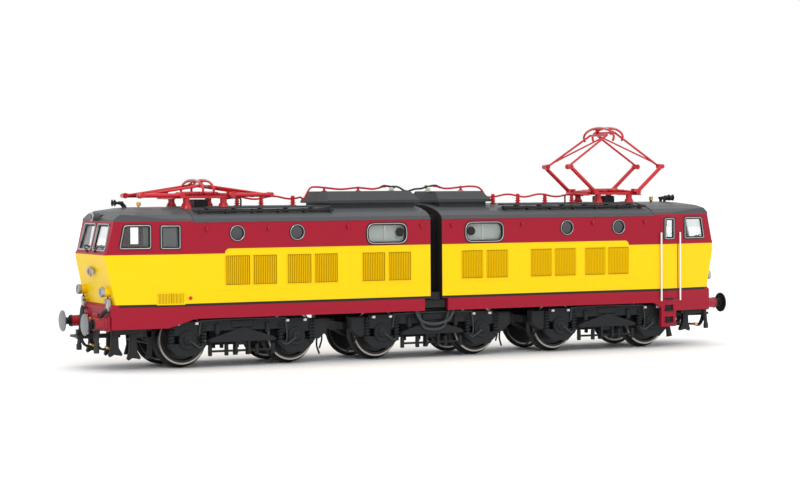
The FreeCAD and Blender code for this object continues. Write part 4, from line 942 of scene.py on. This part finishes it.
def beam_parts(turned):
    """Buffer sleeves on stepped bases, jumper heads, hoses with valves and stirrups."""
    b = Builder(turned)
    for side in (1, -1):
        y = side * BUFFER_SIDE
        b.grid(slab(rounded_loop([(y - 2.4, 11.0), (y + 2.4, 11.0), (y + 2.4, 15.2),
                                  (y - 2.4, 15.2)], 0.6), -97.8, -98.5, "yz", 0.15), "crimson")
        b.grid(slab(rounded_loop([(y - 2.0, 11.3), (y + 2.0, 11.3), (y + 2.0, 14.9),
                                  (y - 2.0, 14.9)], 0.8), -98.4, -99.0, "yz", 0.15), "crimson")
        b.grid(lathe([(1.9, 0), (1.85, -0.4), (1.6, -0.6), (1.55, -2.7), (1.7, -2.8),
                      (1.72, -3.1), (1.6, -3.2), (1.08, -3.2), (1.08, 0.0)],
                     (-98.8, y, BUFFER_HEIGHT), "x", 32), "crimson", closed=True)
        b.grid(lathe([(1.62, 0.3), (1.62, -0.3), (1.5, -0.4), (1.37, -0.4), (1.37, 0.3)],
                     (-102.0, y, BUFFER_HEIGHT), "x", 28), "black", closed=True)
        plug = side * 10.9
        b.grid(slab(rounded_loop([(plug - 0.9, 16.6), (plug + 0.5, 16.2), (plug + 1.0, 18.0),
                                  (plug + 0.6, 20.2), (plug - 0.5, 20.0),
                                  (plug - 0.9, 18.4)], 0.4), -97.3, -98.4, "yz", 0.2), "silver")
        b.grid(tube(smooth_path([(-97.0, plug, 20.8), (-97.9, plug - 0.4 * side, 21.0),
                                 (-98.0, plug, 19.9)], 6), 0.22, 8), "black")
        b.grid(tube(smooth_path([(-98.2, plug, 16.9), (-98.9, side * 9.4, 16.0),
                                 (-99.6, side * 7.9, 13.6), (-100.0, side * 7.7, 10.2),
                                 (-100.4, side * 7.8, 6.4)], 8), 0.6, 12), "dark_hose")
        b.grid(lathe([(0.55, 0), (0.78, -0.15), (0.78, -1.5), (0.6, -1.7), (0, -1.7)],
                     (-100.4, side * 7.8, 6.6), "z", 16), "dark_hose")
        for k, inner in enumerate((5.65, 6.55)):
            h = side * inner
            b.grid(lathe([(0.0, 0.35), (0.4, 0.3), (0.45, -0.2), (0.25, -0.4), (0.25, -1.1),
                          (0.4, -1.2), (0.4, -1.6), (0, -1.6)], (-97.6, h, 13.9 - 0.5 * k),
                         "x", 14), "brass")
            b.grid(tube([(-98.6, h, 13.6 - 0.5 * k), (-98.6, h, 15.0 - 0.5 * k)], 0.22, 8),
                   "brass")
            b.grid(tube(smooth_path([(-99.1, h, 13.7 - 0.5 * k), (-99.9, h, 12.2),
                                     (-100.4, h, 9.2), (-99.6, h * 1.03, 6.9),
                                     (-98.2, h * 1.08, 5.9), (-96.8, h * 1.12, 6.3)], 8), 0.33,
                        10), "black")
            b.grid(lathe([(0.0, 0.6), (0.42, 0.5), (0.45, -0.3), (0.3, -0.6), (0, -0.6)],
                         (-97.0, h * 1.11, 6.3), "x", 14), "brass")
            b.grid(tube([(-96.4, h * 1.12, 6.3), (-94.9, h * 1.12, 6.4)], 0.36, 10), "crimson")
        b.grid(slab(rounded_loop([(side * 8.4 - 1.3, 16.9), (side * 8.4, 16.3),
                                  (side * 8.4 + 1.3, 16.9), (side * 8.4, 17.5)], 0.3),
                    -97.7, -98.0, "yz", 0.08), "crimson")
        # black stirrups behind the beam: two on each side in front, one at the rear
        for at, low in ((-95.9, 4.0), (-90.6, 2.9)) if not turned else ((-91.0, 4.6),):
            leg = [(at - 0.9, 11.6), (at + 0.9, 11.6), (at + 1.1, low + 2.4),
                   (at + 2.1, low + 0.7), (at + 1.9, low + 0.1), (at - 0.3, low + 0.5),
                   (at - 1.4, low - 0.1), (at - 1.8, low + 0.4), (at - 1.1, low + 2.6)]
            b.grid(slab(leg, side * 9.2, side * 10.6, "xz", 0.2), "black")
        b.grid(side_block(side, (-96.6, -88.9), (8.9, 10.9), (9.9, 11.9), 0.2), "black")
    b.grid(slab(rounded_loop([(-2.2, 12.0), (2.2, 12.0), (2.2, 15.6), (-2.2, 15.6)], 0.4),
                -97.8, -98.25, "yz", 0.12), "crimson")
    return b


# ------------------------------------------------------------------ running gear

def bogie_parts(x, outer):
    """Axle-box covers, springs, brake blocks, pipes, guard irons and tanks of one bogie."""
    b = Builder()
    for side in (1, -1):
        for end in (1, -1):
            a = x + end * HALF_WHEELBASE
            near_step = end * outer > 0 and side * outer < 0
            cover = np.array([(2.55, 0), (2.6, 0.25), (2.4, 0.4), (2.1, 0.25), (1.5, 0.3),
                              (1.25, 0.8), (0.9, 1.0), (0.5, 1.02), (0.45, 1.3), (0.0, 1.3)])
            b.grid(lathe(cover * [0.85 if near_step else 1.0, side],
                         (a, side * 14.5, AXLE_HEIGHT), "y", 28), "charcoal")
            lead = smooth_path([(a - end * 0.2, side * 15.5, AXLE_HEIGHT),
                                (a - end * 1.6, side * 15.3, 7.0),
                                (a - end * 3.4, side * 15.0, 5.9),
                                (a - end * 4.6, side * 14.6, 6.6)], 5)
            b.grid(tube(lead, 0.22, 8), "grey_hose")
            # one spring is left off where the cab step comes close as the bogie swivels
            springs = (-end * 4.7,) if near_step else (-4.7, 4.7)
            for offset in springs:
                turns = np.linspace(0, 2 * np.pi * 5, 110)
                coil = np.stack([a + offset + 0.85 * np.cos(turns),
                                 side * 14.0 + 0.85 * np.sin(turns),
                                 7.2 + 4.6 * turns / turns[-1]], 1)
                b.grid(tube(coil, 0.22, 6), "charcoal")
                b.grid(lathe([(0.4, 6.4), (0.4, 12.6)], (a + offset, side * 14.0, 0), "z", 10),
                       "charcoal")
                b.grid(lathe([(0.0, 6.5), (1.15, 6.6), (1.15, 7.1), (0.0, 7.2)],
                             (a + offset, side * 14.0, 0), "z", 16), "charcoal")
            for offset in (-end * 2.7, end * (1.8 if near_step else 2.7)):
                b.grid(side_block(side, (a + offset - 0.45, a + offset + 0.45), (14.2, 14.75),
                                  (12.3, 13.0), 0.08), "white")
            shoe = a - end * 8.9
            line = smooth_path([(shoe + 0.5, 12.0), (shoe + 0.2, 9.5), (shoe + 0.5, 6.6),
                                (shoe - 0.5, 6.4), (shoe - 0.9, 9.5), (shoe - 0.5, 12.2)], 4,
                               closed=True)
            b.grid(slab(line, side * 8.2, side * 10.0, "xz", 0.15), "charcoal")
        b.grid(tube([(x - 9.5, side * 13.6, 4.6), (x + 9.5, side * 13.6, 4.6)], 0.32, 8),
               "charcoal")
        for spot in (-9.5, -4.6, 4.6, 9.5):
            b.grid(side_block(side, (x + spot - 0.5, x + spot + 0.5), (13.1, 14.1), (3.3, 6.4),
                              0.15), "charcoal")
        pipe = smooth_path([(x - 13.0, side * 14.6, 9.6), (x - 12.6, side * 14.7, 12.6),
                            (x - 11.0, side * 14.7, 13.4), (x + 11.0, side * 14.7, 13.4),
                            (x + 12.8, side * 14.7, 12.6), (x + 13.4, side * 14.7, 8.0),
                            (x + 12.6, side * 14.6, 5.8)], 6)
        b.grid(tube(pipe, 0.2, 8), "grey_hose")
        b.grid(side_block(side, (x - 3.4, x + 3.4), (12.9, 14.6), (11.0, 13.3), 0.3),
               "charcoal")
        for offset in (-7.6, 7.6):
            b.grid(lathe([(0.0, 9.4), (0.75, 9.5), (0.8, 12.2), (0.0, 12.4)],
                         (x + offset, side * 14.3, 0), "z", 14), "charcoal")
            b.grid(tube([(x + offset, side * 14.3, 9.5), (x + offset, side * 14.3, 7.9)], 0.3,
                        8), "charcoal")
        for offset in (-1.9, 1.9):
            b.grid(lathe([(0.55, 4.0), (0.6, 4.6), (0.4, 5.0), (0.4, 8.0)],
                         (x + offset, side * 14.4, 0), "z", 14), "charcoal")
        for end in (1, -1):
            if end * outer > 0:
                low = [(x + end * 24.4, 10.8), (x + end * 26.6, 10.8), (x + end * 26.2, 6.0),
                       (x + end * 27.0, 3.0), (x + end * 25.2, 2.8), (x + end * 24.9, 6.2)]
                b.grid(slab(low, side * 8.6, side * 9.4, "xz", 0.15), "charcoal")
                b.grid(tube([(x + end * 26.0, -9.0, 7.4), (x + end * 26.0, 9.0, 7.4)], 0.35, 8),
                       "charcoal")
            else:
                tank = [(x + end * 21.6, 12.9), (x + end * 26.2, 12.9), (x + end * 26.2, 9.2),
                        (x + end * 23.6, 7.0), (x + end * 21.6, 7.0)]
                b.grid(slab(tank, side * 10.9, side * 14.2, "xz", 0.3), "charcoal")
                drain = smooth_path([(x + end * 23.6, side * 12.4, 7.2),
                                     (x + end * 24.2, side * 11.0, 4.8),
                                     (x + end * 25.6, side * 9.6, 2.4)], 6)
                b.grid(tube(drain, 0.28, 8), "charcoal")
    return b


def joint_bellows(folds):
    """Pleated gangway: a rounded section of half width 12.5 that swells and narrows along the
    joint by 0.45 cos(2 pi folds t)."""
    b = Builder()
    t = np.linspace(0, 1, 49)
    fold = 0.45 * np.cos(2 * np.pi * folds * t)
    section = rounded_loop([(-12.5, 18.8), (12.5, 18.8), (12.5, 41.6), (-12.5, 41.6)], 2.0, 6)
    centre = section.mean(0)
    away = section - centre
    away /= np.linalg.norm(away, axis=1)[:, None]
    out = np.zeros((len(t), len(section), 3))
    out[:, :, 0] = (BELLOWS_HALF_LENGTH * (2 * t - 1))[:, None]
    out[:, :, 1] = section[None, :, 0] + fold[:, None] * away[None, :, 0]
    out[:, :, 2] = section[None, :, 1] + fold[:, None] * away[None, :, 1]
    b.grid(out, "rubber")
    return b


def roof_jumper():
    """Black cable that dips over the joint from one roof insulator to the other,
    height = 50.1 - 1.1 sin(pi t) ^ 2 + 0.25 sin(4 pi t)."""
    b = Builder()
    t = np.linspace(0, 1, 33)
    path = np.stack([3.8 * (2 * t - 1), -WIRE_SIDE * (2 * t - 1),
                     50.1 - 1.1 * np.sin(np.pi * t) ** 2 + 0.25 * np.sin(4 * np.pi * t)], 1)
    b.grid(tube(path, 0.3, 10), "dark_hose")
    for tip in (path[0], path[-1]):
        b.grid(lathe([(0, 0.5), (0.42, 0.45), (0.5, 0.0), (0.42, -0.45), (0, -0.5)], tip, "z",
                     16), "dark_hose")
    return b


def joint_cables():
    """Grey cables that hang in a U between the halves, and the dark boxes behind them."""
    b = Builder()
    for side in (1, -1):
        low, high = sorted((side * 12.9, side * 16.3))
        for reach, z0, z1 in ((3.3, 14.9, 17.2), (1.5, 17.0, 19.4)):
            x = np.linspace(-reach, reach, 7)
            ring = np.array([(low, z0), (high, z0), (high, z1), (low, z1)])
            grid = np.zeros((7, 4, 3))
            grid[:, :, 0] = x[:, None]
            grid[:, :, 1:] = ring[None]
            b.grid(grid, "rubber")
    for side in (1, -1):
        for k, drop in ((0, 8.6), (1, 10.2)):
            y = side * (15.2 + 0.8 * k)
            wide = 5.3 + 0.9 * k
            path = smooth_path([(-wide, y, 15.6), (-wide + 0.4, y, 13.2),
                                (-wide + 1.9, y, drop + 0.9), (-1.4, y, drop),
                                (1.4, y, drop), (wide - 1.9, y, drop + 0.9),
                                (wide - 0.4, y, 13.2), (wide, y, 15.6)], 8)
            b.grid(tube(path, 0.45, 12), "grey_hose")
    return b


# ------------------------------------------------------------------ stage

def aim_camera():
    """The camera's place, its turn about three axes and its lens."""
    data = bpy.data.cameras.new("studio_camera")
    data.lens = CAMERA_LENS
    data.sensor_width = 36.0
    data.clip_start, data.clip_end = 0.01, 10.0
    made = bpy.data.objects.new("studio_camera", data)
    bpy.context.scene.collection.objects.link(made)
    yaw, pitch, roll = (math.radians(v) for v in CAMERA_YAW_PITCH_ROLL)
    forward = Vector((math.sin(yaw) * math.cos(pitch), math.cos(yaw) * math.cos(pitch),
                      -math.sin(pitch)))
    right = Vector((math.cos(yaw), -math.sin(yaw), 0))
    up = right.cross(forward)
    right2 = right * math.cos(roll) + up * math.sin(roll)
    up2 = up * math.cos(roll) - right * math.sin(roll)
    turn = Matrix((right2, up2, -forward)).transposed()
    made.matrix_world = Matrix.Translation(Vector(CAMERA_PLACE)) @ turn.to_4x4()
    bpy.context.scene.camera = made


def lamp(name, place, size, power, aim=(0, 0, 0.02)):
    """A soft square light aimed at a point."""
    data = bpy.data.lights.new(name, "AREA")
    data.shape = "RECTANGLE"
    data.size, data.size_y = size
    data.energy = power
    made = bpy.data.objects.new(name, data)
    made.location = place
    made.rotation_mode = "QUATERNION"
    made.rotation_quaternion = (Vector(aim) - Vector(place)).to_track_quat("-Z", "Y")
    bpy.context.scene.collection.objects.link(made)


# ------------------------------------------------------------------ add-on classes

def colour(label, value):
    """A colour setting."""
    return bpy.props.FloatVectorProperty(name=label, description=f"{label} of the enamel",
                                         subtype="COLOR", size=3, min=0.0, max=1.0,
                                         default=value)


class LocomotiveLook(bpy.types.PropertyGroup):
    """Colours of the livery and small sizes of the added parts."""
    crimson: colour("Crimson", (0.30, 0.006, 0.022))
    yellow: colour("Yellow", (0.84, 0.56, 0.0))
    roof_grey: colour("Roof grey", (0.068, 0.072, 0.078))
    underframe: colour("Underframe charcoal", (0.0075, 0.0095, 0.012))
    pantograph_red: colour("Pantograph red", (0.50, 0.006, 0.014))
    floor_shade: bpy.props.FloatProperty(
        name="Floor shade", description="How pale the floor is", default=0.93, min=0.1,
        max=1.0, subtype="FACTOR")
    louvre_slots: bpy.props.IntProperty(
        name="Louvre slots", description="Pressed slots across one louvre panel", default=13,
        min=3, max=30)
    bellows_folds: bpy.props.IntProperty(
        name="Bellows folds", description="Pleats of the gangway between the halves",
        default=5, min=2, max=12)


class LOCO_OT_materials(bpy.types.Operator):
    """Make the finishes and put them on the CAD parts"""
    bl_idname = "loco.materials"
    bl_label = "Finishes"

    def execute(self, context):
        GROUPS.update(build_groups())
        build_materials(context.scene.locomotive_look)
        plan = {
            "body_shell": "livery", "windows": "glass", "metal_trim": "trim",
            "cab_interior": "cab", "roof_box": "roof_dark", "pantograph": "signal_red",
            "roof_wiring": "signal_red", "horns": "black", "motor_housing": "steel",
            "motor_rotor": "copper", "cardan_shaft": "steel", "circuit_board": "board",
            "buffer_beam": "crimson", "bellows": "rubber", "chassis": "casting",
            "ballast": "casting", "bogie_frame": "charcoal", "side_frames": "charcoal",
            "coupler": "black", "buffer_front": "buffer_face", "buffer_rear": "buffer_face",
            "worm": "brass", "idler": "cream", "pivot_pin": "steel",
        }
        for name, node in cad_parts.items():
            if name.startswith("wheelset"):
                low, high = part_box(name)
                item = wheel_finish("turned_" + name, (low.x + high.x) / 2 / MM)
            else:
                key = max((k for k in plan if name.startswith(k)), key=len)
                item = MATERIALS[plan[key]]
            for slot in node.material_slots:
                slot.material = item
        return {"FINISHED"}


class LOCO_OT_louvres(bpy.types.Operator):
    """Add the louvred side panels"""
    bl_idname = "loco.louvres"
    bl_label = "Louvres"

    def execute(self, context):
        slots = context.scene.locomotive_look.louvre_slots
        for word, body, turned in UNITS:
            louvres(turned, slots).make("louvres_" + word, body, "body_paint")
        return {"FINISHED"}


class LOCO_OT_windows(bpy.types.Operator):
    """Add the window seals and frames, and the panels seen behind the oval windows"""
    bl_idname = "loco.windows"
    bl_label = "Window surrounds"

    def execute(self, context):
        for word, body, turned in UNITS:
            surrounds(turned).make("window_surrounds_" + word, body, "bright_trim")
        return {"FINISHED"}


class LOCO_OT_cabs(bpy.types.Operator):
    """Add lamps, wipers, emblem discs, door beads, hooks and steps"""
    bl_idname = "loco.cabs"
    bl_label = "Cab fittings"

    def execute(self, context):
        for word, body, turned in UNITS:
            cab_front(turned).make("cab_front_" + word, body, "bright_trim")
            doors_and_lines(turned).make("doors_and_hooks_" + word, body, "body_paint")
        return {"FINISHED"}


class LOCO_OT_roof(bpy.types.Operator):
    """Add roof wires, conduits, horns and pantograph fittings"""
    bl_idname = "loco.roof"
    bl_label = "Roof fittings"

    def execute(self, context):
        for word, body, turned in UNITS:
            over = [(-15.4, 50.0), (-10.5, 49.6), (-7.5, 50.2), (-6.2, 50.3)]
            if turned:
                wire = roof_wires(turned, -58, -25, (-54, -44.5, -35, -26.4),
                                  [(-23.9, 47.2), (-21.9, 49.6), (-19.0, 50.2)] + over,
                                  (-15.4,))
            else:
                wire = roof_wires(turned, -58, -34, (-54, -46.5, -36.5),
                                  [(-32.9, 47.0), (-31.0, 49.9), (-29.0, 50.3),
                                   (-26.4, 50.1), (-21.0, 49.6)] + over, (-26.4, -15.4))
            made = wire.make("roof_wire_" + word, body, "wire_red")
            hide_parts("roof_wiring_" + word)
            walk_end = -24 if turned else -31.5
            roof_fittings(turned, -74, walk_end).make("roof_conduits_" + word, body, "roof_grey")
            made = horns(turned).make("horns_and_whistle_" + word, body, "horn_black")
            if not turned:
                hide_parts("horns_front")
            low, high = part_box(f"pantograph_{word}_head")
            side = 1 if turned else -1
            height = (high.z / MM) - HEAD_RISE
            centre = side * PANTO_CENTRE
            head = panto_head(centre, height, centre + side * HEAD_OFFSET)
            made = head.make("pantograph_head_strips_" + word, f"pantograph_{word}_head",
                             "pantograph_red")
            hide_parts(f"pantograph_{word}_head")
            panto_fittings(turned).make("pantograph_feet_" + word, body, "pantograph_red")
        return {"FINISHED"}


class LOCO_OT_ends(bpy.types.Operator):
    """Add buffer sleeves, hoses, jumper heads and stirrups"""
    bl_idname = "loco.ends"
    bl_label = "Buffer beams"

    def execute(self, context):
        for word, body, turned in UNITS:
            made = beam_parts(turned).make("beam_parts_" + word, body, "fittings")
            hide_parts("buffer_beam_fittings_" + word)
        return {"FINISHED"}


class LOCO_OT_bogies(bpy.types.Operator):
    """Add covers, springs, brake gear, pipes and guard irons to the bogies"""
    bl_idname = "loco.bogies"
    bl_label = "Running gear"

    def execute(self, context):
        for word, x, outer in (("front", -BOGIE_PITCH, -1), ("middle", 0.0, 0),
                               ("rear", BOGIE_PITCH, 1)):
            bogie_parts(x, outer).make("bogie_gear_" + word, "bogie_" + word, "bogie_black")
        return {"FINISHED"}


class LOCO_OT_joint(bpy.types.Operator):
    """Add the pleated bellows, the roof jumper and the hanging cables between the halves"""
    bl_idname = "loco.joint"
    bl_label = "Joint"

    def execute(self, context):
        folds = context.scene.locomotive_look.bellows_folds
        made = joint_bellows(folds).make("gangway_bellows", None, "bellows_black")
        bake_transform(made)
        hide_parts("bellows_front", "bellows_rear")
        made = roof_jumper().make("roof_jumper", None, "horn_black")
        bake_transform(made)
        made = joint_cables().make("joint_cables", None, "bellows_black")
        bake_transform(made)
        return {"FINISHED"}


class LOCO_OT_stage(bpy.types.Operator):
    """Set the floor, the soft lights and the camera"""
    bl_idname = "loco.stage"
    bl_label = "Studio"

    def execute(self, context):
        shade = context.scene.locomotive_look.floor_shade
        grid = np.zeros((2, 2, 3))
        grid[:, :, 0] = np.array([[-4000.0], [4000.0]])
        grid[:, :, 1] = np.array([[-4000.0, 4000.0]])
        MATERIALS["floor"], surface, g = shader("pale_floor")
        tone = g.mix(g.noise(3.0, 2.0), (shade, shade, shade, 1), (shade * 0.985,) * 3 + (1,))
        g.feed(surface.inputs["Base Color"], tone)
        x, y, _ = g.axes()
        far = g.math("ADD", g.math("MULTIPLY", x, x), g.math("MULTIPLY", y, y))
        fade = g.node("ShaderNodeMapRange", clamp=True, interpolation_type="SMOOTHSTEP")
        g.feed(fade.inputs[0], far)
        g.feed(fade.inputs[1], 0.02)
        g.feed(fade.inputs[2], 0.5)
        g.feed(surface.inputs["Emission Color"],
               g.mix(fade.outputs[0], (0, 0, 0, 1), (0.3, 0.3, 0.3, 1)))
        surface.inputs["Emission Strength"].default_value = 1.0
        surface.inputs["Roughness"].default_value = 0.7
        Builder().sheet(grid, (0, 0, -20.0), "floor").make("floor", None, None)
        world = bpy.data.worlds.new("studio")
        context.scene.world = world
        world.use_nodes = True
        world.node_tree.nodes["Background"].inputs[0].default_value = (1, 1, 1, 1)
        world.node_tree.nodes["Background"].inputs[1].default_value = 1.0
        lamp("key", (-0.35, -0.8, 0.7), (0.5, 0.4), 3.4)
        lamp("fill", (0.8, -0.6, 0.5), (0.6, 0.6), 1.0)
        lamp("top", (0.0, 0.1, 1.0), (0.9, 0.5), 2.0)
        aim_camera()
        view = context.scene.view_settings
        view.view_transform = "Standard"
        view.look = "None"
        return {"FINISHED"}


STEPS = (LOCO_OT_materials, LOCO_OT_louvres, LOCO_OT_windows, LOCO_OT_cabs, LOCO_OT_roof,
         LOCO_OT_ends, LOCO_OT_bogies, LOCO_OT_joint, LOCO_OT_stage)


class LOCO_PT_panel(bpy.types.Panel):
    """The list of steps in the sidebar"""
    bl_idname = "LOCO_PT_panel"
    bl_label = "Locomotive"
    bl_space_type = "VIEW_3D"
    bl_region_type = "UI"
    bl_category = "Locomotive"

    def draw(self, context):
        look = context.scene.locomotive_look
        for name in ("crimson", "yellow", "roof_grey", "underframe", "pantograph_red",
                     "floor_shade", "louvre_slots", "bellows_folds"):
            self.layout.prop(look, name)
        for step in STEPS:
            self.layout.operator(step.bl_idname)


CLASSES = (LocomotiveLook,) + STEPS + (LOCO_PT_panel,)


def register():
    """Register the classes and the settings."""
    for item in CLASSES:
        bpy.utils.register_class(item)
    bpy.types.Scene.locomotive_look = bpy.props.PointerProperty(type=LocomotiveLook)


def unregister():
    """Take the settings and the classes away."""
    del bpy.types.Scene.locomotive_look
    for item in reversed(CLASSES):
        bpy.utils.unregister_class(item)


def main():
    """Run every step in order."""
    register()
    for step in STEPS:
        group, name = step.bl_idname.split(".")
        getattr(getattr(bpy.ops, group), name)()


if __name__ == "__main__":
    main()
